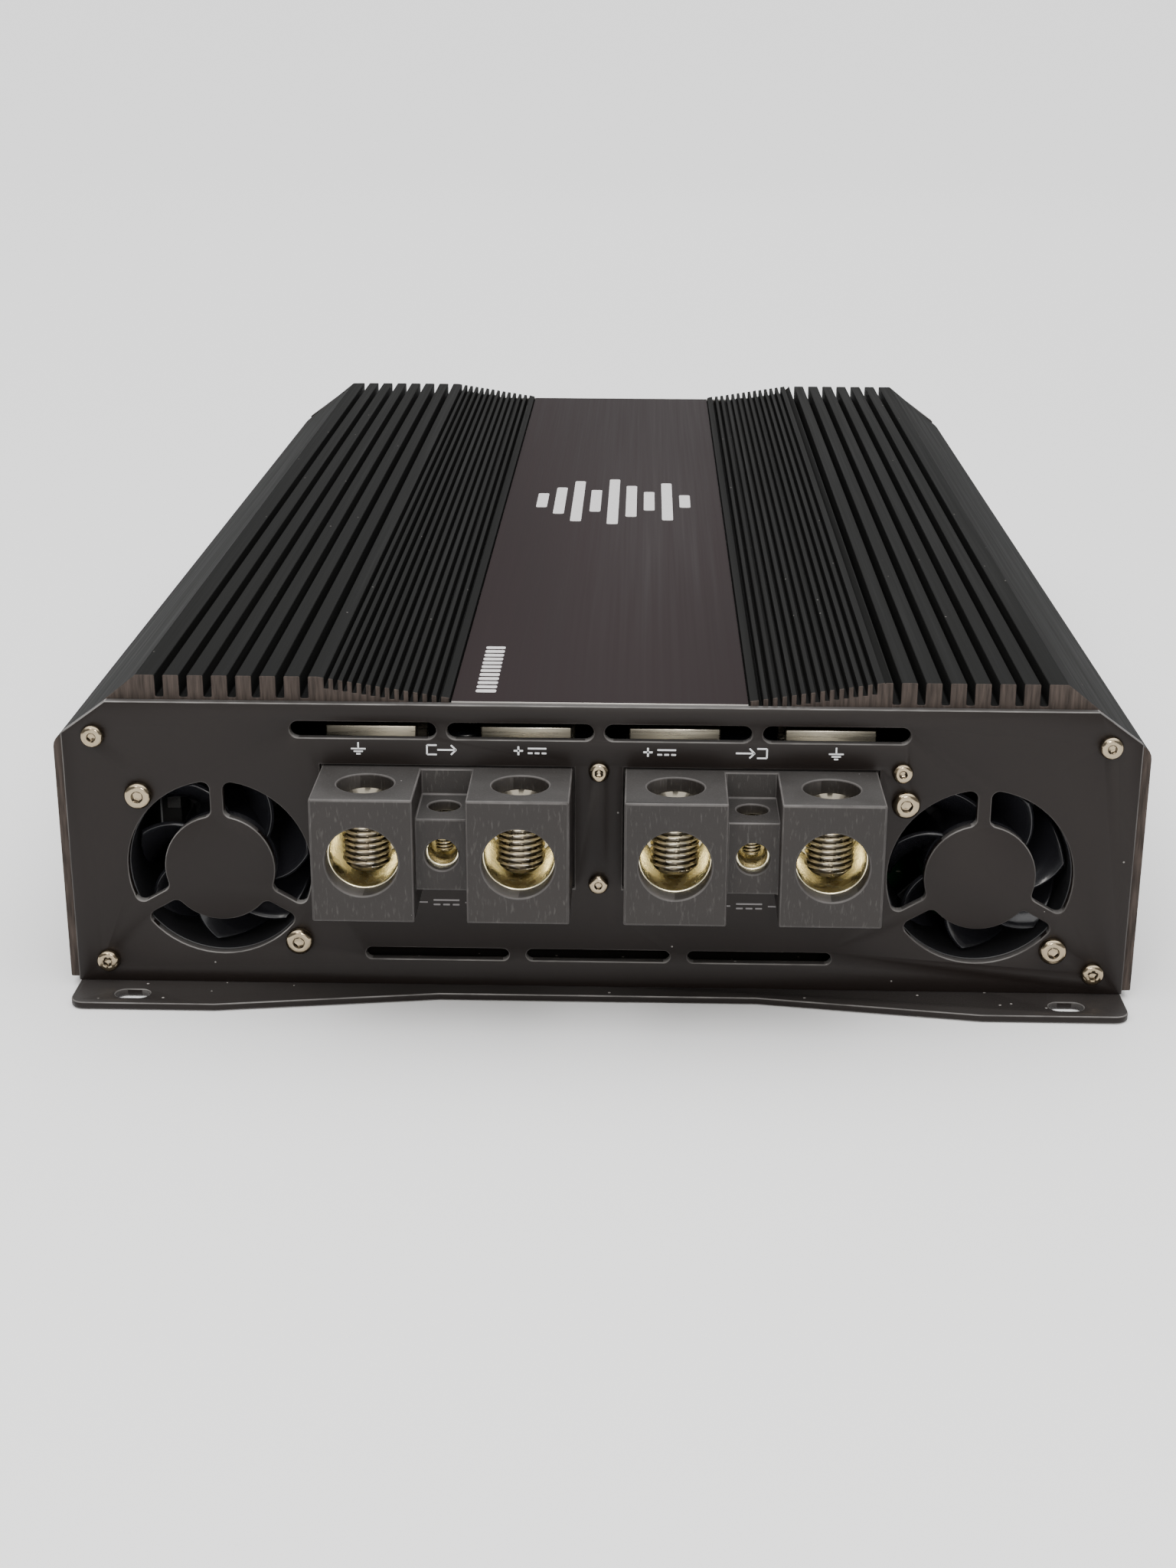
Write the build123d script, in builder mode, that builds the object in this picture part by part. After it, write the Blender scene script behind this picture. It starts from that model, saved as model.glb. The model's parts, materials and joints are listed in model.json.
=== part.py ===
from build123d import *
import os

# Car audio amplifier: a finned aluminium extrusion closed by a front panel, a rear panel and a
# flanged base plate. +Z is up and the power terminals face -Y. The origin is the middle of the
# four mounting slots, on the underside of the base plate. All sizes are in millimetres.

# Case
body_width = 224.0
body_length = 360.0  # outer face of the front panel to outer face of the rear panel
body_height = 68.5  # underside of the base to the crests of the fins
base_thickness = 1.5
panel_thickness = 2.0
panel_side_inset = 2.2  # how far the extrusion shows past each side of the panels
panel_top_drop = 5.05  # how far the panels stay below the crests
panel_chamfer_x = 9.4
panel_chamfer_z = 6.85

# Extrusion
shoulder_drop = 14.2  # from the crests down to the top of the side wall
shoulder_width = 17.8
shoulder_radius = 3.0
side_wall = 4.5
roof_height = 60.2
roof_corner_x = 10.5
roof_corner_z = 10.2
pad_thickness = 6.5  # thick part of each side wall that the transistors are clamped to
pad_low = 13.0
pad_high = 38.0
foot_width = 8.5
foot_height = 6.5
deep_groove_width = 1.7
deep_groove_depth = 4.6
deep_groove_pitch = 4.93
deep_groove_count = 7
deep_groove_first = 59.9  # from the middle to the innermost deep groove
fine_groove_width = 0.95
fine_groove_depth = 2.2
fine_groove_pitch = 1.9
fine_groove_count = 13
fine_groove_first = 32.6
slope_start = 57.3  # the crests slope down from here to the badge plate
slope_low_height = 64.3

# Badge plate
badge_width = 60.2
badge_thickness = 1.0
badge_top_drop = 4.8  # from the crests down to the plate's face
badge_gap = 0.3

# Base plate flanges and mounting slots
base_side_inset = 2.5  # how far the plate stays inside the extrusion at each side
flange_depth = 11.0
flange_relief_depth = 6.8
flange_full_width = 30.5  # straight outer stretch at each side
flange_relief_half = 33.0
flange_corner_radius = 3.0
slot_length = 7.2
slot_width = 4.2
slot_from_panel = 6.3
slot_from_side = 14.9  # from the side of the extrusion to a slot's middle

# Vents
upper_vent_length = 29.8
upper_vent_height = 3.5
upper_vent_pitch = 32.0
upper_vent_count = 4
upper_vent_z = 57.9
lower_vent_length = 30.0
lower_vent_height = 2.6
lower_vent_pitch = 33.7
lower_vent_count = 3
lower_vent_z = 8.7

# Fans
fan_size = 40.0
fan_depth = 20.0
fan_from_block = 1.95  # between a power block and the fan beside it
fan_z = 27.4
fan_screw_inset = 4.0  # from the frame's edge to its holes
fan_hole_radius = 1.65
fan_wall = 1.1  # thinnest place of the frame
fan_corner_radius = 3.0
grille_margin = 0.2  # how far the panel's opening clears the fan's bore
grille_hub_radius = 11.5
grille_spoke_width = 2.8
grille_corner_radius = 1.6
impeller_tip_gap = 0.9
impeller_hub_radius = 11.3
impeller_height = 14.0
impeller_gap = 1.2  # behind the panel
blade_count = 7
blade_thickness = 1.0
blade_pitch = 38.0
blade_chord = 16.1  # before it is trimmed to the impeller's height
blade_root = 1.0  # how far a blade goes into the hub
impeller_cup_wall = 1.2
impeller_cup_face = 3.0
impeller_core_wall = 1.5  # round the axle
impeller_core_short = 4.0  # how far the core stops short of the cup's rim
axle_radius = 1.5
axle_setback = 2.0  # behind the front of the impeller
axle_cap = 0.5  # air in front of the axle's end
running_clearance = 0.05
stator_radius = 7.0
strut_width = 3.0
strut_depth = 2.0
overrun = 2.0  # how far a spoke or strut runs into the ring round it

# Power terminal blocks
block_x = 31.0
block_z = 37.15
block_end = 10.15  # from the middle of a power bore to the end of its block
block_height = 25.9
block_reach = 20.0  # in front of the panel
block_depth = 13.0  # behind the panel's outer face
block_flange_margin = 1.5
block_flange_thickness = 2.5
block_edge_radius = 0.5
block_gap = 0.4  # round the block in the panel
power_pitch = 31.0
power_mouth_radius = 7.2
power_bore_radius = 7.0
power_bore_depth = 18.0  # in the brass
front_wall = 4.5  # plastic in front of the brass
brass_width = 17.2
brass_height = 18.8
brass_length = 29.0
pocket_gap = 0.1
set_screw_y = 10.0  # from the panel's outer face
set_screw_radius = 4.95
set_screw_length = 15.2
set_screw_tip = 1.6
set_screw_lift = 2.5  # tip above the bottom of the bore
set_screw_hex = 5.0
set_screw_hole_radius = 5.7
remote_reach = 15.5
remote_width = 10.4
remote_height = 15.2
remote_z = 37.0
remote_bore_radius = 2.9
remote_mouth_radius = 3.3
remote_front_wall = 2.5
remote_brass_width = 7.8
remote_brass_height = 10.4
remote_brass_length = 22.0
remote_bore_depth = 14.0
remote_back_wall = 1.0
remote_screw_y = 7.5
remote_screw_radius = 1.95
remote_screw_length = 7.5
remote_screw_lift = 1.2
remote_screw_tip = 0.6
remote_screw_hex = 2.0
remote_hole_radius = 3.2

# Bracket behind the blocks
bracket_thickness = 1.5
bracket_low = 20.5
bracket_high = 53.8
bracket_overhang = 1.45  # past the outer end of each block
bracket_ear = 7.0
bracket_ear_trim = 2.0

# Bus bars
bar_width = 19.0
ground_bar_shift = 1.5  # outward from the middle of the ground terminal
bar_thickness = 2.0
bar_top = 54.6
bar_length = 26.0
bar_overlap = 10.0  # how far it hangs down the back of the brass

# Fasteners: (shank radius, head radius, head height, hex size, length)
corner_screw = (1.23, 2.4, 1.5, 1.5, 9.0)
fan_screw = (1.48, 2.9, 1.7, 2.0, 12.0)
bracket_screw = (0.98, 2.1, 1.3, 1.3, 8.0)
base_screw = (1.48, 2.6, 1.1, 2.0, 7.0)  # countersunk
board_screw = (1.48, 2.7, 1.8, 2.0, 5.5)
thread_gap = 0.02
clearance_gap = 0.25
socket_depth = 1.0
crown_share = 0.72  # the flat top of a button head, as a share of its rim
corner_screw_from_side = 8.8
corner_screw_top = 56.1
corner_screw_bottom = 6.3
boss_radius = 3.4
bracket_screw_top = 49.6
bracket_screw_bottom = 25.0
side_bracket_screw_out = 3.5  # beyond the bracket's end
side_bracket_screw_z = 50.1
base_screw_from_side = 5.8
base_screw_from_end = 15.0
base_screw_inner = 58.0

# Boards
board_thickness = 1.6
board_side_gap = 3.0  # to the thick part of each side wall
board_from_front = 30.0
board_from_rear = 22.0
standoff_height = 5.0
standoff_radius = 3.0
standoff_floor = 1.0  # under its threaded hole
standoff_x = (-88.0, 0.0, 88.0)
standoff_from_board_front = 10.0
standoff_from_board_back = 30.0

# Rear panel fittings
speaker_x = 47.0
speaker_z = 30.0
speaker_pitch = 16.0
speaker_count = 4
speaker_end = 9.0  # from the middle of the last bore to the end of the block
speaker_height = 20.0
speaker_reach = 16.0
speaker_depth = 14.0
speaker_bore_radius = 3.5
speaker_mouth_radius = 4.0
speaker_bore_depth = 15.0
speaker_front_wall = 1.5
speaker_brass_width = 11.0
speaker_brass_height = 12.0
speaker_brass_length = 20.0
speaker_screw_radius = 2.95
speaker_screw_length = 6.5
speaker_screw_y = 8.0
speaker_screw_clear = 0.5  # tip above the bore's top when open
speaker_screw_tip = 0.8
speaker_screw_hex = 3.0
speaker_hole_radius = 3.6
jack_x = (-91.0, -75.0)
jack_z = (43.0, 25.0)
jack_radius = 4.15
jack_shank_radius = 3.9
jack_collar = 1.0  # the moulding's collar, proud of the panel
jack_wall = 0.6
jack_insulator_setback = 0.5
jack_bore_radius = 1.6
jack_reach = 9.0
jack_depth = 12.0
jack_hole_radius = 5.5
jack_body_width = 27.0
jack_body_height = 32.0
knob_x = (-58.0, -42.0, -26.0, -10.0)
knob_z = 43.0
knob_radius = 4.0
knob_reach = 6.0
knob_gap = 0.6  # between a knob and the panel
knob_slot_width = 1.0
knob_slot_depth = 1.2
knob_chamfer = 0.6
shaft_radius = 1.5
pot_size = 10.0
pot_depth = 6.0
pot_floor = 1.0
shaft_end_gap = 0.2
panel_hole_gap = 0.5
switch_x = -58.0
switch_z = 24.0
switch_travel = 3.0
switch_lever_width = 2.6
switch_lever_height = 3.0
switch_reach = 2.5
switch_body_width = 12.0
switch_body_height = 6.0
switch_body_depth = 5.0
switch_floor = 2.0
switch_foot = (8.0, 2.0)  # the post that joins the body to the control board
remote_jack_x = -34.0
remote_jack_z = 24.0
remote_jack_width = 13.0
remote_jack_height = 11.0
remote_jack_depth = 14.0
remote_jack_wall = 1.2
remote_jack_proud = 0.5
led_x = (-14.0, -6.0)
led_z = 24.0
led_radius = 1.5
led_dome = 1.0
control_board_low = 12.0
control_board_high = 54.0
control_board_margin = 5.0  # past the outer indicator light

# Parts on the main board
transformer_x = 34.0
transformer_y = -38.0
inductor_y = 66.0
core_outer = 22.0
core_inner = 12.0
core_height = 16.0
core_lift = 3.0
core_edge_radius = 1.0
turn_count = 18
turn_width = 2.0
turn_thickness = 1.4
turn_gap = 0.3
small_can = (9.0, 32.0)  # radius, height
large_can = (14.0, 42.0)
can_crimp_low = 2.2
can_crimp_middle = 3.0
can_crimp_high = 3.8
can_crimp_depth = 0.8
can_edge = 1.0
small_can_rows = ((-54.0, -32.0, -10.0, 12.0, 34.0, 56.0), (-118.0, -97.0))
large_can_rows = ((-45.0, -15.0, 15.0, 45.0), (14.0,))
package_width = 10.0
package_height = 15.0
package_thickness = 4.4
tab_height = 6.0
tab_thickness = 1.3
lead_width = 0.8
lead_pitch = 2.54
package_lift = 6.0
lead_overlap = 1.0  # how far the leads go into a package
package_pitch = 13.0
supply_first = -128.0
supply_count = 8
output_first = 10.0
output_count = 8
insulator_thickness = 0.4
clamp_thickness = 3.0
clamp_height = 7.0
clamp_bar_trim = 0.6  # off the top and the bottom of the bar
clamp_bar_lift = 0.5
clamp_screw_bite = 4.0  # thread in the side wall
driver_board = (70.0, 34.0)
driver_board_y = 118.0

# Places worked out from the sizes above
package_rows = ((supply_first, supply_count), (output_first, output_count))
front = -body_length / 2
rear = body_length / 2
front_inner = front + panel_thickness
rear_inner = rear - panel_thickness
half_width = body_width / 2
panel_half = half_width - panel_side_inset
plate_half = half_width - base_side_inset
panel_top = body_height - panel_top_drop
shoulder_z = body_height - shoulder_drop
crest_half = half_width - shoulder_width
slot_half_spacing = half_width - slot_from_side
corner_screw_x = half_width - corner_screw_from_side
block_width = power_pitch + 2 * block_end
fan_x = block_x + block_width / 2 + fan_from_block + fan_size / 2
fan_screw_pitch = fan_size - 2 * fan_screw_inset
fan_bore_radius = fan_size / 2 - fan_wall
grille_outer_radius = fan_bore_radius + grille_margin
impeller_radius = fan_bore_radius - impeller_tip_gap
bracket_half_width = block_x + block_width / 2 + bracket_overhang
side_bracket_screw = (bracket_half_width + side_bracket_screw_out, side_bracket_screw_z)
speaker_width = (speaker_count - 1) * speaker_pitch + 2 * speaker_end
badge_top = body_height - badge_top_drop
board_low = base_thickness + standoff_height
board_top = board_low + board_thickness
side_inner = half_width - side_wall
pad_x = side_inner - pad_thickness
board_width = 2 * (pad_x - board_side_gap)
board_front = front + board_from_front
board_back = rear - board_from_rear
standoff_y = (board_front + standoff_from_board_front, board_back - standoff_from_board_back)
base_screw_outer = rear - base_screw_from_end
base_screw_y = (-base_screw_outer, -base_screw_inner, base_screw_inner, base_screw_outer)
fan_back = front_inner + fan_depth
block_front = front - block_reach
block_back = front + block_depth
power_places = (-power_pitch / 2, power_pitch / 2)
brass_front = block_front + front_wall
brass_back = brass_front + brass_length
remote_front = front - remote_reach
remote_brass_front = remote_front + remote_front_wall
slot_y = body_length / 2 + slot_from_panel
speaker_front = rear + speaker_reach
jack_front = rear + jack_reach
control_board_y = rear_inner - jack_depth


UPRIGHT = (Align.CENTER, Align.CENTER, Align.MIN)
HANGING = (Align.CENTER, Align.CENTER, Align.MAX)


def across(y):
    """A drawing plane at y that faces the front: its x is the model's X, its y is the model's Z."""
    return Plane(origin=(0, y, 0), x_dir=(1, 0, 0), z_dir=(0, -1, 0))


def block_of(low, high, mode=Mode.ADD):
    """A box between two corners."""
    size = [b - a for a, b in zip(low, high)]
    middle = tuple((a + b) / 2 for a, b in zip(low, high))
    with Locations(middle):
        Box(*size, mode=mode)


def rod_y(x, z, radius, y_low, y_high, mode=Mode.ADD):
    """A round bar along Y."""
    with Locations((x, (y_low + y_high) / 2, z)):
        Cylinder(radius, y_high - y_low, rotation=(90, 0, 0), mode=mode)


def rod_z(x, y, radius, z_low, z_high, mode=Mode.ADD):
    """A round bar along Z."""
    with Locations((x, y, (z_low + z_high) / 2)):
        Cylinder(radius, z_high - z_low, mode=mode)


def save(piece, name):
    """Labels a finished piece and writes its STEP file."""
    piece.part.label = name
    export_step(piece.part, f"parts/{name}.step")


def button_screw(plane, screw):
    """A socket button screw: its head is above the plane and its shank below it."""
    shank, head, height, hex_size, length = screw
    with Locations(plane):
        Cone(head, head * crown_share, height, align=UPRIGHT)
        Cylinder(shank, length, align=HANGING)
    with BuildSketch(plane.offset(height)) as socket:
        RegularPolygon(hex_size / 2, 6, major_radius=False)
    extrude(socket.sketch, amount=-socket_depth, mode=Mode.SUBTRACT)


def panel_screws(y, facing, places, screw):
    """Screws through a panel whose outer face is at y, facing -1 for the front or 1 for the rear."""
    for x, z in places:
        button_screw(Plane(origin=(x, y, z), x_dir=(1, 0, 0), z_dir=(0, facing, 0)), screw)


corner_screw_heights = (corner_screw_bottom, corner_screw_top)
corner_places = [(side * corner_screw_x, z) for side in (-1, 1) for z in corner_screw_heights]
bracket_places = [(0, bracket_screw_bottom), (0, bracket_screw_top), side_bracket_screw]
base_screw_x = half_width - base_screw_from_side
base_screw_places = [(side * base_screw_x, y) for side in (-1, 1) for y in base_screw_y]
sink_radius = base_screw[1]
sink_depth = base_screw[2]
half_pitch = fan_screw_pitch / 2
fan_screw_places = [
    (side * fan_x + step * half_pitch, fan_z - step * half_pitch)
    for side in (-1, 1)
    for step in (-1, 1)
]


# ---------------------------------------------------------------- case
def make_extrusion():
    slope_end = badge_width / 2 + badge_gap
    recess = badge_top - badge_thickness
    fall = (body_height - slope_low_height) / (slope_start - slope_end)
    with BuildPart() as piece:
        with BuildSketch(across(front_inner)) as section:
            with BuildLine():
                Polyline(
                    (0, roof_height),
                    (side_inner - roof_corner_x, roof_height),
                    (side_inner, roof_height - roof_corner_z),
                    (side_inner, pad_high),
                    (pad_x, pad_high),
                    (pad_x, pad_low),
                    (side_inner, pad_low),
                    (side_inner, base_thickness + foot_height),
                    (half_width - foot_width, base_thickness + foot_height),
                    (half_width - foot_width, base_thickness),
                    (half_width, base_thickness),
                    (half_width, shoulder_z),
                    (crest_half, body_height),
                    (slope_start, body_height),
                    (slope_end, slope_low_height),
                    (slope_end, recess),
                    (0, recess),
                    close=True,
                )
            make_face()
            fillet(section.vertices().sort_by_distance((half_width, shoulder_z))[0], shoulder_radius)
            with Locations(*[(corner_screw_x, z) for z in corner_screw_heights]):
                Circle(boss_radius)
            with Locations((corner_screw_x + boss_radius, corner_screw_bottom)):
                Rectangle(2 * boss_radius, boss_radius)
            with Locations(*[(corner_screw_x, z) for z in corner_screw_heights]):
                Circle(corner_screw[0] + thread_gap, mode=Mode.SUBTRACT)
            for i in range(deep_groove_count):
                with Locations((deep_groove_first + i * deep_groove_pitch, body_height)):
                    Rectangle(deep_groove_width, 2 * deep_groove_depth, mode=Mode.SUBTRACT)
            for i in range(fine_groove_count):
                x = fine_groove_first + i * fine_groove_pitch
                surface = slope_low_height + fall * (x - slope_end)
                low, high = surface - fine_groove_depth, body_height
                with Locations((x, (low + high) / 2)):
                    Rectangle(fine_groove_width, high - low, mode=Mode.SUBTRACT)
            mirror(about=Plane.YZ)
        extrude(amount=-(body_length - 2 * panel_thickness))
        for x, y in base_screw_places:
            radius = base_screw[0] + thread_gap
            rod_z(x, y, radius, base_thickness, base_thickness + foot_height, Mode.SUBTRACT)
        for side in (-1, 1):
            for first, count in package_rows:
                for x, y in clamp_screw_places(first, count):
                    radius = board_screw[0] + thread_gap
                    origin = (side * pad_x, y, clamp_z)
                    plane = Plane(origin=origin, x_dir=(0, 1, 0), z_dir=(side, 0, 0))
                    with BuildSketch(plane):
                        Circle(radius)
                    extrude(amount=pad_thickness, mode=Mode.SUBTRACT)
    return piece


def clamp_screw_places(first, count):
    """Where the screws of one clamp bar go: between packages, at both ends and in the middle."""
    last = first + (count - 1) * package_pitch
    between = package_pitch / 2
    return [(pad_x, y) for y in (first + between, (first + last) / 2, last - between)]


clamp_z = board_top + package_lift + package_height - clamp_height / 2


def make_badge_plate():
    with BuildPart() as piece:
        half = badge_width / 2
        block_of((-half, front_inner, badge_top - badge_thickness), (half, rear_inner, badge_top))
    return piece


def panel_blank(y):
    """The outline that both end panels share, with its corner holes."""
    with BuildSketch(across(y)) as outline:
        with BuildLine():
            Polyline(
                (-panel_half, base_thickness),
                (panel_half, base_thickness),
                (panel_half, panel_top - panel_chamfer_z),
                (panel_half - panel_chamfer_x, panel_top),
                (panel_chamfer_x - panel_half, panel_top),
                (-panel_half, panel_top - panel_chamfer_z),
                close=True,
            )
        make_face()
        with Locations(*corner_places):
            Circle(corner_screw[0] + clearance_gap, mode=Mode.SUBTRACT)
        with Locations((0, upper_vent_z)):
            with GridLocations(upper_vent_pitch, 1, upper_vent_count, 1):
                SlotOverall(upper_vent_length, upper_vent_height, mode=Mode.SUBTRACT)
        with Locations((0, lower_vent_z)):
            with GridLocations(lower_vent_pitch, 1, lower_vent_count, 1):
                SlotOverall(lower_vent_length, lower_vent_height, mode=Mode.SUBTRACT)
    extrude(outline.sketch, amount=-panel_thickness)


def grille_window(x, z):
    """Three curved windows between the hub disc and the rim, one spoke pointing straight up."""
    with BuildSketch(Plane(origin=(x, front, z), x_dir=(1, 0, 0), z_dir=(0, -1, 0))) as window:
        Circle(grille_outer_radius)
        Circle(grille_hub_radius, mode=Mode.SUBTRACT)
        with PolarLocations(grille_outer_radius / 2, 3, start_angle=90):
            Rectangle(grille_outer_radius + overrun, grille_spoke_width, mode=Mode.SUBTRACT)
        fillet(window.vertices(), grille_corner_radius)
    extrude(window.sketch, amount=-panel_thickness, mode=Mode.SUBTRACT)


def make_front_panel():
    with BuildPart() as piece:
        panel_blank(front)
        for side in (-1, 1):
            grille_window(side * fan_x, fan_z)
        with BuildSketch(across(front)):
            with Locations(*[(side * block_x, block_z) for side in (-1, 1)]):
                Rectangle(block_width + 2 * block_gap, block_height + 2 * block_gap)
            with Locations(*fan_screw_places):
                Circle(fan_screw[0] + clearance_gap)
            with Locations(*bracket_places):
                Circle(bracket_screw[0] + clearance_gap)
        extrude(amount=-panel_thickness, mode=Mode.SUBTRACT)
    return piece


def make_rear_panel():
    with BuildPart() as piece:
        panel_blank(rear_inner)
        with BuildSketch(across(rear_inner)):
            with Locations((speaker_x, speaker_z)):
                Rectangle(speaker_width + 2 * block_gap, speaker_height + 2 * block_gap)
            with Locations(*[(x, z) for x in jack_x for z in jack_z]):
                Circle(jack_hole_radius)
            with Locations(*[(x, knob_z) for x in knob_x]):
                Circle(shaft_radius + panel_hole_gap)
            with Locations((switch_x, switch_z)):
                Rectangle(
                    switch_lever_width + switch_travel + 2 * panel_hole_gap,
                    switch_lever_height + 2 * panel_hole_gap,
                )
            with Locations((remote_jack_x, remote_jack_z)):
                Rectangle(remote_jack_width + 2 * pocket_gap, remote_jack_height + 2 * pocket_gap)
            with Locations(*[(x, led_z) for x in led_x]):
                Circle(led_radius + pocket_gap)
        extrude(amount=-panel_thickness, mode=Mode.SUBTRACT)
    return piece


def flange_edge():
    """The rear flange's edge from left to right: full depth at the sides, relieved between."""
    outer = rear + flange_depth
    inner = rear + flange_depth - flange_relief_depth
    return [
        (-plate_half, outer),
        (flange_full_width - plate_half, outer),
        (-flange_relief_half, inner),
        (flange_relief_half, inner),
        (plate_half - flange_full_width, outer),
        (plate_half, outer),
    ]


def make_base_plate():
    edge = flange_edge()
    with BuildPart() as piece:
        with BuildSketch() as outline:
            with BuildLine():
                Polyline(*[(x, -y) for x, y in edge], *reversed(edge), close=True)
            make_face()
            flange_y = rear + flange_depth
            corners = [(x, y) for x in (-plate_half, plate_half) for y in (-flange_y, flange_y)]
            nearest = [outline.vertices().sort_by_distance(corner)[0] for corner in corners]
            fillet(nearest, flange_corner_radius)
            with GridLocations(2 * slot_half_spacing, 2 * slot_y, 2, 2):
                SlotOverall(slot_length, slot_width, mode=Mode.SUBTRACT)
            with Locations(*base_screw_places):
                Circle(base_screw[0] + clearance_gap, mode=Mode.SUBTRACT)
        extrude(amount=base_thickness)
        for x, y in base_screw_places:
            with Locations((x, y, 0)):
                Cone(
                    sink_radius + clearance_gap,
                    base_screw[0] + clearance_gap,
                    sink_depth,
                    align=UPRIGHT,
                    mode=Mode.SUBTRACT,
                )
    return piece


def make_base_screws():
    """Countersunk screws, flush with the underside of the base plate."""
    shank, head, height, hex_size, length = base_screw
    with BuildPart() as piece:
        for x, y in base_screw_places:
            with Locations((x, y, 0)):
                Cone(head, shank, height, align=UPRIGHT)
                Cylinder(shank, length, align=UPRIGHT)
            with BuildSketch():
                with Locations((x, y)):
                    RegularPolygon(hex_size / 2, 6, major_radius=False)
            extrude(amount=socket_depth, mode=Mode.SUBTRACT)
    return piece


# ---------------------------------------------------------------- fans
def make_fan_frame(x):
    with BuildPart() as piece:
        with BuildSketch(across(front_inner)):
            with Locations((x, fan_z)):
                RectangleRounded(fan_size, fan_size, fan_corner_radius)
                Circle(fan_bore_radius, mode=Mode.SUBTRACT)
                with GridLocations(fan_screw_pitch, fan_screw_pitch, 2, 2):
                    Circle(fan_hole_radius, mode=Mode.SUBTRACT)
        extrude(amount=-fan_depth)
        with BuildSketch(across(fan_back)):
            with Locations((x, fan_z)):
                with PolarLocations(fan_bore_radius / 2, 4, start_angle=45):
                    Rectangle(fan_bore_radius + overrun, strut_width)
                Circle(stator_radius)
        extrude(amount=strut_depth)
        rod_y(x, fan_z, axle_radius, front_inner + impeller_gap + axle_setback, fan_back)
    return piece


def make_impeller(x):
    """A cup-shaped hub on the frame's axle, with pitched blades round it."""
    face = front_inner + impeller_gap
    back = face + impeller_height
    middle = (face + back) / 2
    with BuildPart() as piece:
        rod_y(x, fan_z, impeller_hub_radius, face, back)
        span = impeller_radius - impeller_hub_radius + blade_root
        for i in range(blade_count):
            turn = Plane(origin=(x, middle, fan_z), x_dir=(1, 0, 0), z_dir=(0, -1, 0))
            spin = Location(turn) * Location((0, 0, 0), (0, 0, i * 360 / blade_count))
            reach = impeller_radius - span / 2
            with Locations(spin * Location((reach, 0, 0), (blade_pitch, 0, 0))):
                Box(span, blade_thickness, blade_chord)
        with BuildSketch(across(face)):
            with Locations((x, fan_z)):
                Circle(impeller_radius)
        extrude(amount=-impeller_height, mode=Mode.INTERSECT)
        cup = impeller_hub_radius - impeller_cup_wall
        rod_y(x, fan_z, cup, face + impeller_cup_face, back, Mode.SUBTRACT)
        core_back = back - impeller_core_short
        rod_y(x, fan_z, axle_radius + impeller_core_wall, face + impeller_cup_face / 2, core_back)
        axle_hole = face + axle_setback - axle_cap
        rod_y(x, fan_z, axle_radius + running_clearance, axle_hole, back, Mode.SUBTRACT)
    return piece


# ---------------------------------------------------------------- power terminals
def make_power_block(x):
    """A moulded block: two tall housings for power terminals, a small one between for a remote lead."""
    low, high = block_z - block_height / 2, block_z + block_height / 2
    remote_low, remote_high = remote_z - remote_height / 2, remote_z + remote_height / 2
    half = block_width / 2
    gap = remote_width / 2
    flange_half = half + block_flange_margin
    with BuildPart() as piece:
        block_of((x - half, block_front, low), (x + half, block_back, high))
        edges = piece.faces().sort_by(Axis.Y)[0].edges()
        fillet(edges, block_edge_radius)
        block_of(
            (x - flange_half, front_inner, low - block_flange_margin),
            (x + flange_half, front_inner + block_flange_thickness, high + block_flange_margin),
        )
        step = front - remote_back_wall
        block_of((x - gap, block_front, low), (x + gap, step, remote_low), Mode.SUBTRACT)
        block_of((x - gap, block_front, remote_high), (x + gap, step, high), Mode.SUBTRACT)
        recess = ((x - gap, block_front, remote_low), (x + gap, remote_front, remote_high))
        block_of(*recess, Mode.SUBTRACT)
        for place in power_places:
            bore_x = x + place
            rod_y(bore_x, bore_z, power_mouth_radius, block_front, brass_front, Mode.SUBTRACT)
            pocket = (brass_width / 2 + pocket_gap, brass_height / 2 + pocket_gap)
            block_of(
                (bore_x - pocket[0], brass_front, bore_z - pocket[1]),
                (bore_x + pocket[0], block_back, bore_z + pocket[1]),
                Mode.SUBTRACT,
            )
            rod_z(bore_x, front - set_screw_y, set_screw_hole_radius, bore_z, high, Mode.SUBTRACT)
        rod_y(x, bore_z, remote_mouth_radius, remote_front, remote_brass_front, Mode.SUBTRACT)
        pocket = (remote_brass_width / 2 + pocket_gap, remote_brass_height / 2 + pocket_gap)
        block_of(
            (x - pocket[0], remote_brass_front, bore_z - pocket[1]),
            (x + pocket[0], block_back, bore_z + pocket[1]),
            Mode.SUBTRACT,
        )
        rod_z(x, front - remote_screw_y, remote_hole_radius, bore_z, remote_high, Mode.SUBTRACT)
    return piece


bore_z = remote_z


def make_power_terminals(places):
    """Brass blocks, each with a blind bore for the cable and a threaded hole down to it."""
    half, tall = brass_width / 2, brass_height / 2
    with BuildPart() as piece:
        for x in places:
            block_of((x - half, brass_front, bore_z - tall), (x + half, brass_back, bore_z + tall))
            bore_end = brass_front + power_bore_depth
            rod_y(x, bore_z, power_bore_radius, brass_front, bore_end, Mode.SUBTRACT)
            hole = set_screw_radius + running_clearance
            rod_z(x, front - set_screw_y, hole, bore_z, bore_z + tall, Mode.SUBTRACT)
    return piece


def make_remote_terminals(places):
    """The same for the thin remote leads."""
    half, tall = remote_brass_width / 2, remote_brass_height / 2
    back = remote_brass_front + remote_brass_length
    with BuildPart() as piece:
        for x in places:
            block_of((x - half, remote_brass_front, bore_z - tall), (x + half, back, bore_z + tall))
            bore_end = remote_brass_front + remote_bore_depth
            rod_y(x, bore_z, remote_bore_radius, remote_brass_front, bore_end, Mode.SUBTRACT)
            hole = remote_screw_radius + running_clearance
            rod_z(x, front - remote_screw_y, hole, bore_z, bore_z + tall, Mode.SUBTRACT)
    return piece


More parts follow.
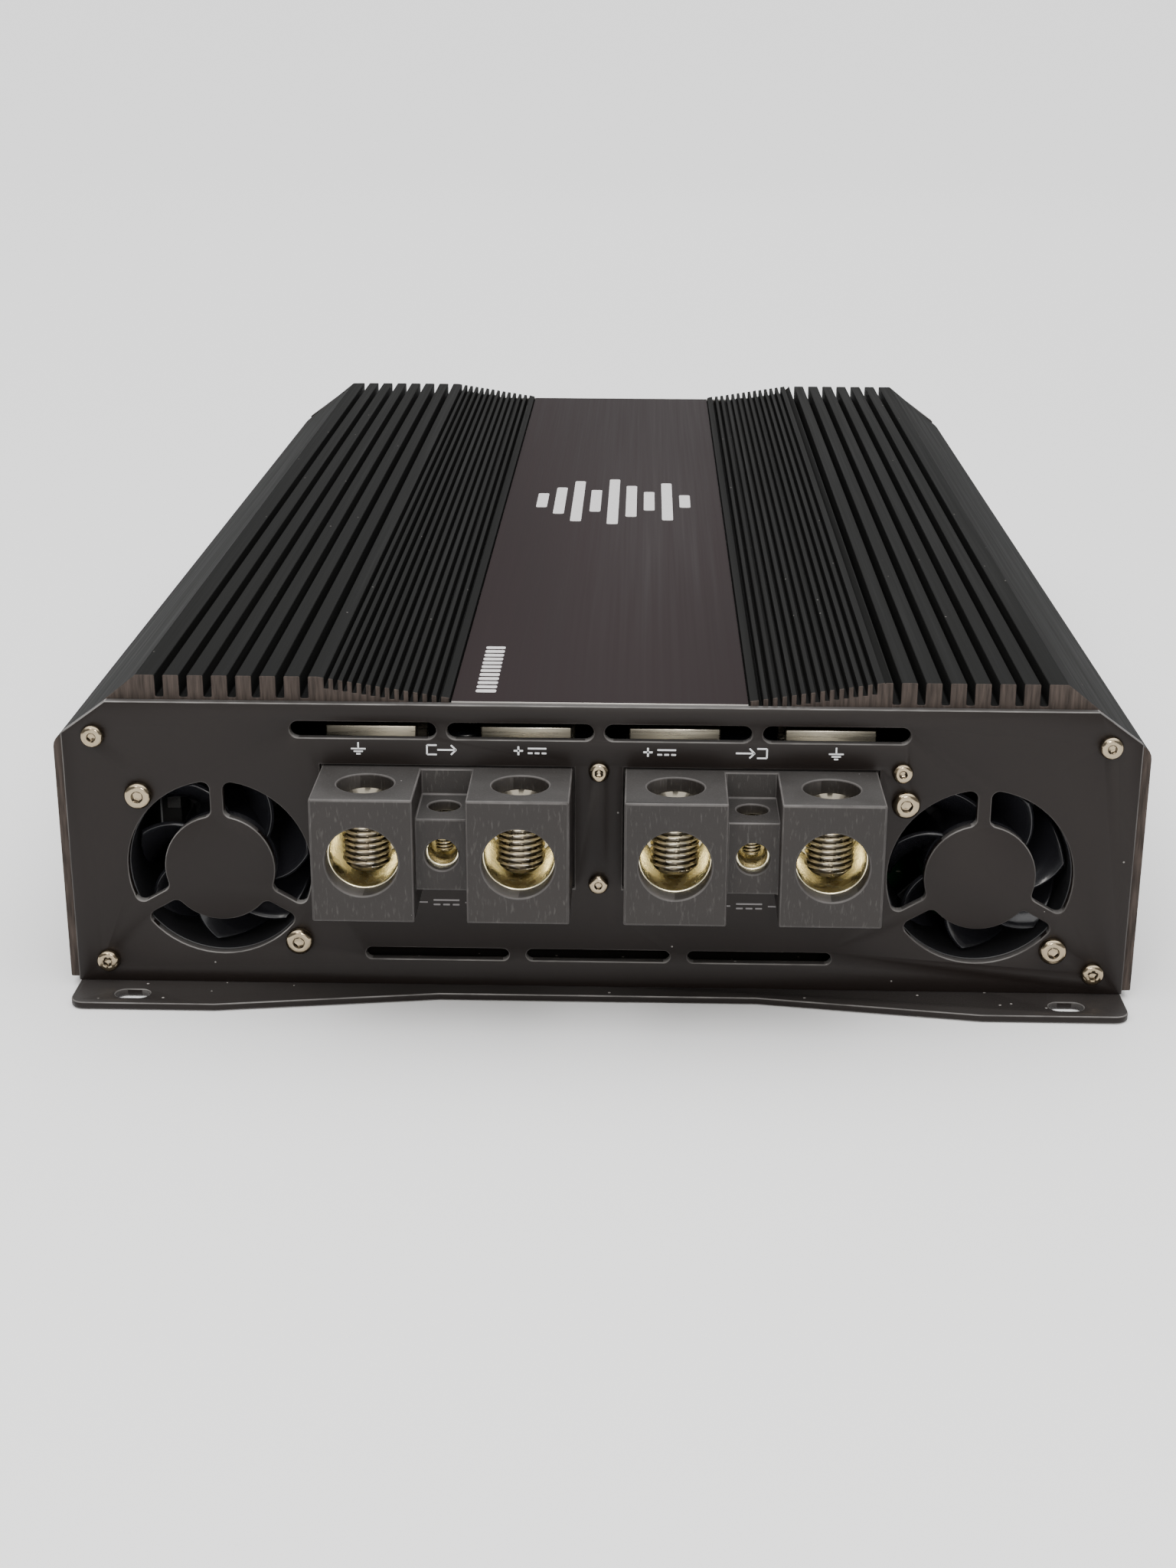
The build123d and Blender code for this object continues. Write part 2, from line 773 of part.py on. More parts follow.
def make_set_screw(x, y, tip_z, radius, length, tip, hex_size):
    """A socket set screw standing on its chamfered tip."""
    with BuildPart() as piece:
        rod_z(x, y, radius, tip_z, tip_z + length)
        chamfer(piece.edges().group_by(Axis.Z)[0], tip)
        with BuildSketch(Plane.XY.offset(tip_z + length)):
            with Locations((x, y)):
                RegularPolygon(hex_size / 2, 6, major_radius=False)
        extrude(amount=-hex_size, mode=Mode.SUBTRACT)
    return piece


def make_bracket():
    """A steel plate behind both blocks that their panel screws pull against."""
    opening = (block_width + 2 * block_gap, block_height + 2 * block_gap)
    with BuildPart() as piece:
        with BuildSketch(across(front_inner + block_flange_thickness)):
            with Locations((0, (bracket_low + bracket_high) / 2)):
                Rectangle(2 * bracket_half_width, bracket_high - bracket_low)
            ear_x, ear_z = side_bracket_screw
            with Locations((ear_x - bracket_ear / 2, ear_z)):
                Rectangle(2 * bracket_ear, 2 * (bracket_high - ear_z) - bracket_ear_trim)
            with Locations(*[(side * block_x, block_z) for side in (-1, 1)]):
                Rectangle(*opening, mode=Mode.SUBTRACT)
            with Locations(*bracket_places):
                Circle(bracket_screw[0] + thread_gap, mode=Mode.SUBTRACT)
        extrude(amount=-bracket_thickness)
    return piece


def make_bus_bars(places):
    """Copper straps that rise behind the brass, run back above the board and come down onto it."""
    start = brass_back
    end = start + bar_length
    with BuildPart() as piece:
        for x in places:
            half = bar_width / 2
            low = bore_z + brass_height / 2 - bar_overlap
            block_of((x - half, start, low), (x + half, start + bar_thickness, bar_top))
            block_of((x - half, start, bar_top - bar_thickness), (x + half, end, bar_top))
            block_of((x - half, end - bar_thickness, board_top), (x + half, end, bar_top))
    return piece


# ---------------------------------------------------------------- boards and what they carry
def make_standoffs():
    with BuildPart() as piece:
        for x in standoff_x:
            for y in standoff_y:
                rod_z(x, y, standoff_radius, base_thickness, board_low)
                hole_end = base_thickness + standoff_floor
                rod_z(x, y, board_screw[0] + thread_gap, hole_end, board_low, Mode.SUBTRACT)
    return piece


def make_main_board():
    with BuildPart() as piece:
        block_of((-board_width / 2, board_front, board_low), (board_width / 2, board_back, board_top))
        for x in standoff_x:
            for y in standoff_y:
                rod_z(x, y, board_screw[0] + clearance_gap, board_low, board_top, Mode.SUBTRACT)
    return piece


def make_board_screws():
    with BuildPart() as piece:
        for x in standoff_x:
            for y in standoff_y:
                button_screw(Plane(origin=(x, y, board_top)), board_screw)
    return piece


transformer_places = [(side * transformer_x, transformer_y) for side in (-1, 1)]
inductor_places = [(side * transformer_x, inductor_y) for side in (-1, 1)]
core_low = board_top + core_lift


def make_cores(places):
    with BuildPart() as piece:
        for x, y in places:
            rod_z(x, y, core_outer, core_low, core_low + core_height)
            rod_z(x, y, core_inner, core_low, core_low + core_height, Mode.SUBTRACT)
        fillet(piece.edges().filter_by(GeomType.CIRCLE), core_edge_radius)
    return piece


def make_windings(places):
    """Turns of copper round each core, one closed loop to a turn."""
    radial = core_outer - core_inner
    middle = (core_outer + core_inner) / 2
    with BuildPart() as piece:
        for gap, mode in ((turn_gap + turn_thickness, Mode.ADD), (turn_gap, Mode.SUBTRACT)):
            for x, y in places:
                with Locations((x, y, core_low + core_height / 2)):
                    with PolarLocations(middle, turn_count):
                        Box(radial + 2 * gap, turn_width, core_height + 2 * gap, mode=mode)
    return piece


def make_cans(size, rows):
    """Upright electrolytic capacitors with a rounded top and a crimped groove near the board."""
    radius, height = size
    with BuildPart() as can:
        with BuildSketch(Plane.XZ):
            with BuildLine():
                Polyline(
                    (0, 0),
                    (radius, 0),
                    (radius, can_crimp_low),
                    (radius - can_crimp_depth, can_crimp_middle),
                    (radius, can_crimp_high),
                    (radius, height - can_edge),
                    (radius - can_edge, height),
                    (0, height),
                    close=True,
                )
            make_face()
        revolve(axis=Axis.Z)
    with BuildPart() as piece:
        with Locations(*[(x, y, board_top) for x in rows[0] for y in rows[1]]):
            add(can.part)
    return piece


def make_transistors(side, first, count):
    """Packages that stand on their leads with their tabs against the side wall's pad."""
    tab_face = pad_x - insulator_thickness
    low = board_top + package_lift
    with BuildPart() as piece:
        for i in range(count):
            y = first + i * package_pitch
            half = package_width / 2
            xs = sorted((side * tab_face, side * (tab_face - tab_thickness)))
            block_of((xs[0], y - half, low), (xs[1], y + half, low + package_height))
            xs = sorted((side * tab_face, side * (tab_face - package_thickness)))
            block_of((xs[0], y - half, low), (xs[1], y + half, low + package_height - tab_height))
            for step in (-1, 0, 1):
                x = side * (tab_face - package_thickness / 2)
                y_lead = y + step * lead_pitch
                with Locations((x, y_lead, board_top)):
                    Box(lead_width, lead_width, package_lift + lead_overlap, align=UPRIGHT)
    return piece


def make_insulators():
    with BuildPart() as piece:
        for side in (-1, 1):
            for first, count in package_rows:
                xs = sorted((side * pad_x, side * (pad_x - insulator_thickness)))
                y_low, y_high = bar_ends(first, count)
                low = board_top + package_lift
                block_of((xs[0], y_low, low), (xs[1], y_high, low + package_height))
                for _, y in clamp_screw_places(first, count):
                    screw_hole(side, y)
    return piece


def bar_ends(first, count):
    half = package_width / 2
    return first - half, first + (count - 1) * package_pitch + half


def screw_hole(side, y):
    """A clearance hole for a clamp screw, through everything in front of the side wall's pad."""
    with Locations(Plane(origin=(side * pad_x, y, clamp_z), x_dir=(0, 1, 0), z_dir=(-side, 0, 0))):
        Cylinder(
            board_screw[0] + clearance_gap,
            package_thickness + clamp_thickness,
            align=UPRIGHT,
            mode=Mode.SUBTRACT,
        )


clamp_face = pad_x - insulator_thickness - tab_thickness


def make_clamp_bars():
    with BuildPart() as piece:
        for side in (-1, 1):
            for first, count in package_rows:
                xs = sorted((side * clamp_face, side * (clamp_face - clamp_thickness)))
                y_low, y_high = bar_ends(first, count)
                half = clamp_height / 2 - clamp_bar_trim
                bar_z = clamp_z + clamp_bar_lift
                block_of((xs[0], y_low, bar_z - half), (xs[1], y_high, bar_z + half))
                for _, y in clamp_screw_places(first, count):
                    screw_hole(side, y)
    return piece


def make_clamp_screws():
    x = clamp_face - clamp_thickness
    stack = clamp_thickness + tab_thickness + insulator_thickness
    screw = (*board_screw[:4], stack + clamp_screw_bite)
    with BuildPart() as piece:
        for side in (-1, 1):
            for first, count in package_rows:
                for _, y in clamp_screw_places(first, count):
                    origin = (side * x, y, clamp_z)
                    button_screw(Plane(origin=origin, x_dir=(0, 1, 0), z_dir=(-side, 0, 0)), screw)
    return piece


def make_driver_board():
    width, height = driver_board
    with BuildPart() as piece:
        block_of(
            (-width / 2, driver_board_y, board_top),
            (width / 2, driver_board_y + board_thickness, board_top + height),
        )
    return piece


# ---------------------------------------------------------------- rear panel fittings
speaker_first = speaker_x - (speaker_count - 1) / 2 * speaker_pitch
speaker_places = [speaker_first + i * speaker_pitch for i in range(speaker_count)]
speaker_brass_front = speaker_front - speaker_front_wall
speaker_low = speaker_z - speaker_height / 2
speaker_high = speaker_z + speaker_height / 2


def make_speaker_block():
    half = speaker_width / 2
    flange_half = half + block_flange_margin
    back = rear - speaker_depth
    with BuildPart() as piece:
        block_of((speaker_x - half, back, speaker_low), (speaker_x + half, speaker_front, speaker_high))
        fillet(piece.faces().sort_by(Axis.Y)[-1].edges(), block_edge_radius)
        flange_low, flange_high = speaker_low - block_flange_margin, speaker_high + block_flange_margin
        block_of(
            (speaker_x - flange_half, rear_inner - block_flange_thickness, flange_low),
            (speaker_x + flange_half, rear_inner, flange_high),
        )
        for x in speaker_places:
            rod_y(x, speaker_z, speaker_mouth_radius, speaker_brass_front, speaker_front, Mode.SUBTRACT)
            pocket = (speaker_brass_width / 2 + pocket_gap, speaker_brass_height / 2 + pocket_gap)
            block_of(
                (x - pocket[0], back, speaker_z - pocket[1]),
                (x + pocket[0], speaker_brass_front, speaker_z + pocket[1]),
                Mode.SUBTRACT,
            )
            screw_y = rear + speaker_screw_y
            rod_z(x, screw_y, speaker_hole_radius, speaker_z, speaker_high, Mode.SUBTRACT)
    return piece


def make_speaker_terminals():
    with BuildPart() as piece:
        for x in speaker_places:
            back = speaker_brass_front - speaker_brass_length
            half = speaker_brass_width / 2
            half_height = speaker_brass_height / 2
            block_of(
                (x - half, back, speaker_z - half_height),
                (x + half, speaker_brass_front, speaker_z + half_height),
            )
            bore_end = speaker_brass_front - speaker_bore_depth
            rod_y(x, speaker_z, speaker_bore_radius, bore_end, speaker_brass_front, Mode.SUBTRACT)
            hole = speaker_screw_radius + running_clearance
            rod_z(x, rear + speaker_screw_y, hole, speaker_z, speaker_z + half_height, Mode.SUBTRACT)
    return piece


jack_places = [(x, z) for x in jack_x for z in jack_z]
jack_middle = (sum(jack_x) / 2, sum(jack_z) / 2)


def make_jack_body():
    """The moulding behind the signal jacks, with a collar through each panel hole."""
    x, z = jack_middle
    with BuildPart() as piece:
        block_of(
            (x - jack_body_width / 2, control_board_y, z - jack_body_height / 2),
            (x + jack_body_width / 2, rear_inner, z + jack_body_height / 2),
        )
        for px, pz in jack_places:
            rod_y(px, pz, jack_hole_radius - pocket_gap, rear_inner, rear + jack_collar)
        for px, pz in jack_places:
            hole = jack_shank_radius + pocket_gap
            rod_y(px, pz, hole, control_board_y, rear + jack_collar, Mode.SUBTRACT)
    return piece


def make_jack_shells():
    """Plated barrels that a phono plug's collar goes over, with a centre socket in an insulator."""
    with BuildPart() as piece:
        for x, z in jack_places:
            rod_y(x, z, jack_shank_radius, control_board_y, rear + jack_collar)
            rod_y(x, z, jack_radius, rear + jack_collar, jack_front)
            rod_y(x, z, jack_radius - jack_wall, rear + jack_collar, jack_front, Mode.SUBTRACT)
    return piece


def make_jack_insulators():
    insulator_front = jack_front - jack_insulator_setback
    with BuildPart() as piece:
        for x, z in jack_places:
            rod_y(x, z, jack_radius - jack_wall, rear + jack_collar, insulator_front)
            rod_y(x, z, jack_bore_radius, rear + jack_collar, insulator_front, Mode.SUBTRACT)
    return piece


def make_pots():
    """Control bodies fixed on the control board, each with a hole that its knob's shaft turns in."""
    pot_front = control_board_y + pot_depth
    with BuildPart() as piece:
        for x in knob_x:
            half = pot_size / 2
            block_of((x - half, control_board_y, knob_z - half), (x + half, pot_front, knob_z + half))
            hole = shaft_radius + running_clearance
            rod_y(x, knob_z, hole, control_board_y + pot_floor, pot_front, Mode.SUBTRACT)
    return piece


def make_knob(x):
    start = rear + knob_gap
    end = start + knob_reach
    with BuildPart() as piece:
        rod_y(x, knob_z, knob_radius, start, end)
        chamfer(piece.edges().group_by(Axis.Y)[-1], knob_chamfer)
        rod_y(x, knob_z, shaft_radius, control_board_y + pot_floor + shaft_end_gap, start)
        half = knob_slot_width / 2
        block_of(
            (x - half, end - knob_slot_depth, knob_z - knob_radius),
            (x + half, end, knob_z + knob_radius),
            Mode.SUBTRACT,
        )
    return piece


def make_switch_body():
    width, height = switch_body_width, switch_body_height
    slot_x = (switch_lever_width + switch_travel) / 2 + panel_hole_gap
    slot_z = switch_lever_height / 2 + panel_hole_gap
    back = rear_inner - switch_body_depth
    with BuildPart() as piece:
        block_of(
            (switch_x - width / 2, back, switch_z - height / 2),
            (switch_x + width / 2, rear_inner, switch_z + height / 2),
        )
        block_of(
            (switch_x - slot_x, back + switch_floor, switch_z - slot_z),
            (switch_x + slot_x, rear_inner, switch_z + slot_z),
            Mode.SUBTRACT,
        )
        foot_x, foot_z = switch_foot[0] / 2, switch_foot[1] / 2
        block_of(
            (switch_x - foot_x, control_board_y, switch_z - foot_z),
            (switch_x + foot_x, back, switch_z + foot_z),
        )
    return piece


def make_switch_lever():
    low = switch_x - switch_travel / 2 - switch_lever_width / 2
    back = rear_inner - switch_body_depth
    half = switch_lever_height / 2
    with BuildPart() as piece:
        block_of(
            (low, back + switch_floor + panel_hole_gap, switch_z - half),
            (low + switch_lever_width, rear + switch_reach, switch_z + half),
        )
    return piece


def make_remote_jack():
    """A modular jack for a bass remote: a square socket open to the rear."""
    half, tall, wall = remote_jack_width / 2, remote_jack_height / 2, remote_jack_wall
    mouth = rear + remote_jack_proud
    with BuildPart() as piece:
        block_of(
            (remote_jack_x - half, control_board_y, remote_jack_z - tall),
            (remote_jack_x + half, mouth, remote_jack_z + tall),
        )
        block_of(
            (remote_jack_x - half + wall, control_board_y + wall, remote_jack_z - tall + wall),
            (remote_jack_x + half - wall, mouth, remote_jack_z + tall - wall),
            Mode.SUBTRACT,
        )
    return piece


def make_leds():
    with BuildPart() as piece:
        for x in led_x:
            rod_y(x, led_z, led_radius, control_board_y, rear + led_dome)
        fillet(piece.edges().group_by(Axis.Y)[-1], led_dome)
    return piece


def make_control_board():
    low_x = jack_middle[0] - jack_body_width / 2
    with BuildPart() as piece:
        block_of(
            (low_x, control_board_y - board_thickness, control_board_low),
            (max(led_x) + control_board_margin, control_board_y, control_board_high),
        )
    return piece


# ---------------------------------------------------------------- build and write every piece
os.makedirs("parts", exist_ok=True)

save(make_extrusion(), "heatsink_extrusion")
save(make_badge_plate(), "badge_plate")
save(make_front_panel(), "front_panel")
save(make_rear_panel(), "rear_panel")
save(make_base_plate(), "base_plate")
save(make_base_screws(), "base_plate_screws")
with BuildPart() as panel_corner_screws:
    panel_screws(front, -1, corner_places, corner_screw)
    panel_screws(rear, 1, corner_places, corner_screw)
save(panel_corner_screws, "panel_corner_screws")
with BuildPart() as fan_screws:
    panel_screws(front, -1, fan_screw_places, fan_screw)
save(fan_screws, "fan_screws")
with BuildPart() as terminal_bracket_screws:
    panel_screws(front, -1, bracket_places, bracket_screw)
save(terminal_bracket_screws, "terminal_bracket_screws")
save(make_bracket(), "terminal_bracket")

for side_name, side in (("left", -1), ("right", 1)):
    save(make_fan_frame(side * fan_x), f"{side_name}_fan_frame")
    save(make_impeller(side * fan_x), f"{side_name}_fan_impeller")
    middle = side * block_x
    save(make_power_block(middle), f"{side_name}_power_block")
    half_power_pitch = side * power_pitch / 2
    for kind, x in (("ground", middle + half_power_pitch), ("supply", middle - half_power_pitch)):
        screw = make_set_screw(
            x,
            front - set_screw_y,
            bore_z - power_bore_radius + set_screw_lift,
            set_screw_radius,
            set_screw_length,
            set_screw_tip,
            set_screw_hex,
        )
        save(screw, f"{side_name}_{kind}_set_screw")
    screw = make_set_screw(
        middle,
        front - remote_screw_y,
        bore_z - remote_bore_radius + remote_screw_lift,
        remote_screw_radius,
        remote_screw_length,
        remote_screw_tip,
        remote_screw_hex,
    )
    save(screw, f"{side_name}_remote_set_screw")

ground_x = [side * (block_x + power_pitch / 2) for side in (-1, 1)]
supply_x = [side * (block_x - power_pitch / 2) for side in (-1, 1)]
save(make_power_terminals(ground_x), "ground_terminals")
save(make_power_terminals(supply_x), "supply_terminals")
save(make_remote_terminals((-block_x, block_x)), "remote_terminals")
ground_bar_x = block_x + power_pitch / 2 + ground_bar_shift
save(make_bus_bars([-ground_bar_x, ground_bar_x] + supply_x), "bus_bars")

save(make_standoffs(), "board_standoffs")
save(make_main_board(), "main_board")
save(make_board_screws(), "board_screws")
save(make_cores(transformer_places), "transformer_cores")
save(make_windings(transformer_places), "transformer_windings")
save(make_cores(inductor_places), "output_inductor_cores")
save(make_windings(inductor_places), "output_inductor_windings")
save(make_cans(small_can, small_can_rows), "input_capacitors")
save(make_cans(large_can, large_can_rows), "rail_capacitors")
save(make_insulators(), "insulator_strips")
save(make_clamp_bars(), "transistor_clamp_bars")
save(make_clamp_screws(), "clamp_screws")
save(make_driver_board(), "driver_board")

with BuildPart() as supply_transistors:
    for side in (-1, 1):
        add(make_transistors(side, supply_first, supply_count).part)
save(supply_transistors, "supply_transistors")
with BuildPart() as output_transistors:
    for side in (-1, 1):
        add(make_transistors(side, output_first, output_count).part)
save(output_transistors, "output_transistors")

save(make_speaker_block(), "speaker_block")
save(make_speaker_terminals(), "speaker_terminals")
speaker_tip = speaker_z + speaker_bore_radius + speaker_screw_clear
for i, x in enumerate(speaker_places, start=1):
    screw = make_set_screw(
        x,
        rear + speaker_screw_y,
        speaker_tip,
        speaker_screw_radius,
        speaker_screw_length,
        speaker_screw_tip,
        speaker_screw_hex,
    )
    save(screw, f"speaker_set_screw_{i}")
save(make_jack_body(), "signal_jack_body")
save(make_jack_shells(), "signal_jack_shells")
save(make_jack_insulators(), "signal_jack_insulators")
save(make_pots(), "control_pots")
for name, x in zip(("level", "low_pass", "subsonic", "bass_boost"), knob_x):
    save(make_knob(x), f"{name}_knob")
save(make_switch_body(), "phase_switch_body")
save(make_switch_lever(), "phase_switch_lever")
save(make_remote_jack(), "bass_remote_jack")
save(make_leds(), "indicator_lights")
save(make_control_board(), "control_board")
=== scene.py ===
"""The car amplifier's looks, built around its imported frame.

Blender's lengths are metres. Shapes are written in millimetres and brought to metres by MM or scaled()."""

import json
import math

import bmesh
import bpy
from mathutils import Matrix, Vector
from mathutils.geometry import delaunay_2d_cdt


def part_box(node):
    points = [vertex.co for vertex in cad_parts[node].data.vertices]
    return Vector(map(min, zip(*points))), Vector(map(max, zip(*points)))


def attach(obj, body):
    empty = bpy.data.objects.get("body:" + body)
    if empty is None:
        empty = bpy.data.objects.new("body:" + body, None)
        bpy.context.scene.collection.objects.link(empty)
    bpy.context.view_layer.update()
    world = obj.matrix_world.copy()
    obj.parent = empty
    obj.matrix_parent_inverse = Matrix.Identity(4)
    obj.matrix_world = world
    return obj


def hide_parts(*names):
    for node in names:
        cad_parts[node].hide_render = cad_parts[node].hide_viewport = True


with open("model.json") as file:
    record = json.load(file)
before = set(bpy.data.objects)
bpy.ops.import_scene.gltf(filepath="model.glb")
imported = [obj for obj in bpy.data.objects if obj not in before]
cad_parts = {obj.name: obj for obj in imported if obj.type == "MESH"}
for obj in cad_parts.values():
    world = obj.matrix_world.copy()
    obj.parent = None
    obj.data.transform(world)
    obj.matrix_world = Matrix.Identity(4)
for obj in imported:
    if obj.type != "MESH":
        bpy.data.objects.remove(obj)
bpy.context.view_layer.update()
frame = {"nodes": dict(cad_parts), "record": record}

MM = 0.001
WELD = 2e-6
REARWARD = Vector((0, 1, 0))
nodes = frame["nodes"]


# --- materials
class Finish:
    """A Principled material under construction, patterned in Object coordinates."""

    def __init__(self, name, colour, roughness, metallic=0.0, specular=0.5, coat=0.0):
        self.material = bpy.data.materials.new(name)
        self.material.use_nodes = True
        self.tree = self.material.node_tree
        self.shader = self.tree.nodes["Principled BSDF"]
        self.colour = (*colour, 1.0)
        self.shader.inputs["Base Color"].default_value = self.colour
        self.shader.inputs["Roughness"].default_value = roughness
        self.shader.inputs["Metallic"].default_value = metallic
        self.shader.inputs["Specular IOR Level"].default_value = specular
        self.shader.inputs["Coat Weight"].default_value = coat
        self.place = self.node("ShaderNodeTexCoord").outputs["Object"]

    def node(self, kind, sockets=None, **settings):
        made = self.tree.nodes.new(kind)
        for key, value in settings.items():
            setattr(made, key, value)
        for key, value in (sockets or {}).items():
            if isinstance(value, bpy.types.NodeSocket):
                self.tree.links.new(value, made.inputs[key])
            else:
                made.inputs[key].default_value = value
        return made

    def stretched(self, scale, turn=(0, 0, 0)):
        """Object coordinates scaled along each axis, and turned."""
        sockets = {"Vector": self.place, "Scale": scale, "Rotation": turn}
        return self.node("ShaderNodeMapping", sockets).outputs[0]

    def noise(self, scale, detail=2.0, stretch=(1, 1, 1), turn=(0, 0, 0)):
        sockets = {"Vector": self.stretched(stretch, turn), "Scale": scale, "Detail": detail}
        return self.node("ShaderNodeTexNoise", sockets).outputs["Fac"]

    def ramp(self, value, low, high, start=0.0, end=1.0):
        """Carries a value from the range low to high into start to end, without overshoot."""
        sockets = {"Value": value, "From Min": low, "From Max": high, "To Min": start, "To Max": end}
        return self.node("ShaderNodeMapRange", sockets).outputs["Result"]

    def math(self, operation, a, b=0.0):
        return self.node("ShaderNodeMath", {0: a, 1: b}, operation=operation).outputs[0]

    def specks(self, scale, size, share):
        """Small round flecks: one in each lattice cell, of which only a share show."""
        sockets = {"Vector": self.place, "Scale": scale}
        cells = self.node("ShaderNodeTexVoronoi", sockets)
        chance = self.node("ShaderNodeSeparateColor", {"Color": cells.outputs["Color"]}).outputs[0]
        near = self.math("LESS_THAN", cells.outputs["Distance"], size)
        return self.math("MULTIPLY", near, self.math("LESS_THAN", chance, share))

    def normal(self, axis):
        """How far the surface faces along an axis, from -1 to 1."""
        direction = self.node("ShaderNodeNewGeometry").outputs["Normal"]
        return self.node("ShaderNodeSeparateXYZ", {0: direction}).outputs["XYZ".index(axis)]

    def facing(self, axis, least=0.7):
        """One where the surface faces along an axis, either way."""
        return self.math("GREATER_THAN", self.math("ABSOLUTE", self.normal(axis)), least)

    def up(self, least=0.7):
        """One where the surface faces upwards."""
        return self.math("GREATER_THAN", self.normal("Z"), least)

    def tint(self, factor, other):
        """Blends the base colour so far towards another one."""
        mix = self.node("ShaderNodeMix", {"Factor": factor}, data_type="RGBA")
        base = self.shader.inputs["Base Color"]
        under, over = (socket for socket in mix.inputs if socket.type == "RGBA")
        if base.is_linked:
            self.tree.links.new(base.links[0].from_socket, under)
        else:
            under.default_value = self.colour
        over.default_value = (*other, 1.0)
        self.tree.links.new(next(s for s in mix.outputs if s.type == "RGBA"), base)
        return self

    def worn_and_highlit_edges(self, most, colour):
        """Blends the rounded-off edges of a piece towards a pale colour: partly the wear that rubbing leaves,
        partly a painted highlight, strongest on edges that face up.
        """
        patches = self.ramp(self.noise(140, 3), 0.3, 0.65, 0.35 * most, most)
        # Edges that face up get more of the pale colour: painted highlight where the light falls.
        rubbed_and_lit = self.math("MULTIPLY", patches, self.ramp(self.normal("Z"), -0.1, 0.6, 0.25, 1.0))
        return self.tint(self.math("MULTIPLY", self.marked("rounded"), rubbed_and_lit), colour)

    def marked(self, name):
        """One on the faces of a piece that were marked with an attribute."""
        return self.node("ShaderNodeAttribute", attribute_name=name).outputs["Fac"]

    def rough(self, value, low, high):
        """Roughness from a pattern, between two limits."""
        self.tree.links.new(self.ramp(value, 0.25, 0.75, low, high), self.shader.inputs["Roughness"])
        return self

    def metal(self, factor):
        self.tree.links.new(factor, self.shader.inputs["Metallic"])
        return self

    def bump(self, height, depth, strength=1.0):
        """Relief of a given depth in metres, on top of any relief so far."""
        socket = self.shader.inputs["Normal"]
        made = self.node("ShaderNodeBump", {"Height": height, "Distance": depth, "Strength": strength})
        if socket.is_linked:
            self.tree.links.new(socket.links[0].from_socket, made.inputs["Normal"])
        self.tree.links.new(made.outputs[0], socket)
        return self


def black_anodised():
    """Drawn extrusion: fine lines along its length, sawn ends."""
    f = Finish("black_anodised", (0.005, 0.0051, 0.0048), 0.68, specular=0.1)
    drawn = f.noise(900, 2, (1, 0.012, 1))
    f.tint(f.ramp(drawn, 0.45, 0.8, 0, 0.5), (0.01, 0.01, 0.0093))
    f.tint(f.ramp(f.noise(9, 3), 0.45, 0.75, 0, 0.35), (0.0085, 0.0081, 0.007))
    ends = f.facing("Y")
    sawn = f.noise(1500, 2, (1, 1, 0.1), (0, math.radians(32), 0))
    f.tint(f.math("MULTIPLY", ends, f.ramp(sawn, 0.3, 0.7, 0.3, 0.8)), (0.085, 0.066, 0.057))
    f.tint(f.math("MULTIPLY", f.specks(330, 0.07, 0.1), f.up(0.5)), (0.16, 0.15, 0.14))
    f.rough(drawn, 0.58, 0.74)
    f.bump(drawn, 0.00003, 0.6)
    f.bump(f.math("MULTIPLY", ends, sawn), 0.0001, 0.8)
    return f.material


def black_paint(name, dusty):
    """Fine satin paint with a faint orange peel, and dust on what faces up."""
    f = Finish(name, (0.009, 0.0062, 0.0052), 0.42, specular=0.22)
    # Pale rounded edges: partly rubbed wear, partly a painted highlight.
    f.worn_and_highlit_edges(0.85, (0.26, 0.25, 0.24))
    cloud = f.noise(14, 4)
    f.tint(f.ramp(cloud, 0.35, 0.75, 0, 0.55), (0.0145, 0.0108, 0.0096))
    film = f.ramp(f.noise(30, 4), 0.3, 0.7, 0.6 * dusty, dusty)
    f.tint(f.math("MULTIPLY", f.up(), film), (0.34, 0.33, 0.32))
    f.tint(f.specks(260, 0.05, 0.03), (0.2, 0.19, 0.18))
    f.tint(f.math("MULTIPLY", f.specks(420, 0.12, 0.22), f.up()), (0.34, 0.32, 0.3))
    grain = f.noise(2600, 2)
    f.rough(grain, 0.36, 0.46)
    f.bump(grain, 0.00001, 0.5)
    f.bump(f.noise(420, 1), 0.00002, 0.3)
    return f.material


def badge_film():
    """Dark brushed sheet whose cut edges are bare."""
    f = Finish("badge_film", (0.015, 0.0088, 0.0094), 0.55, specular=0.09)
    brushed = f.noise(700, 2, (1, 0.01, 1))
    f.tint(f.ramp(brushed, 0.4, 0.8, 0, 0.4), (0.024, 0.0158, 0.0168))
    f.tint(f.ramp(f.noise(6, 3), 0.4, 0.8, 0, 0.5), (0.0125, 0.008, 0.0085))
    edge = f.math("SUBTRACT", 1.0, f.facing("Z", 0.5))
    f.tint(edge, (0.62, 0.6, 0.57))
    f.metal(edge)
    f.rough(brushed, 0.44, 0.56)
    f.bump(brushed, 0.00002, 0.35)
    return f.material


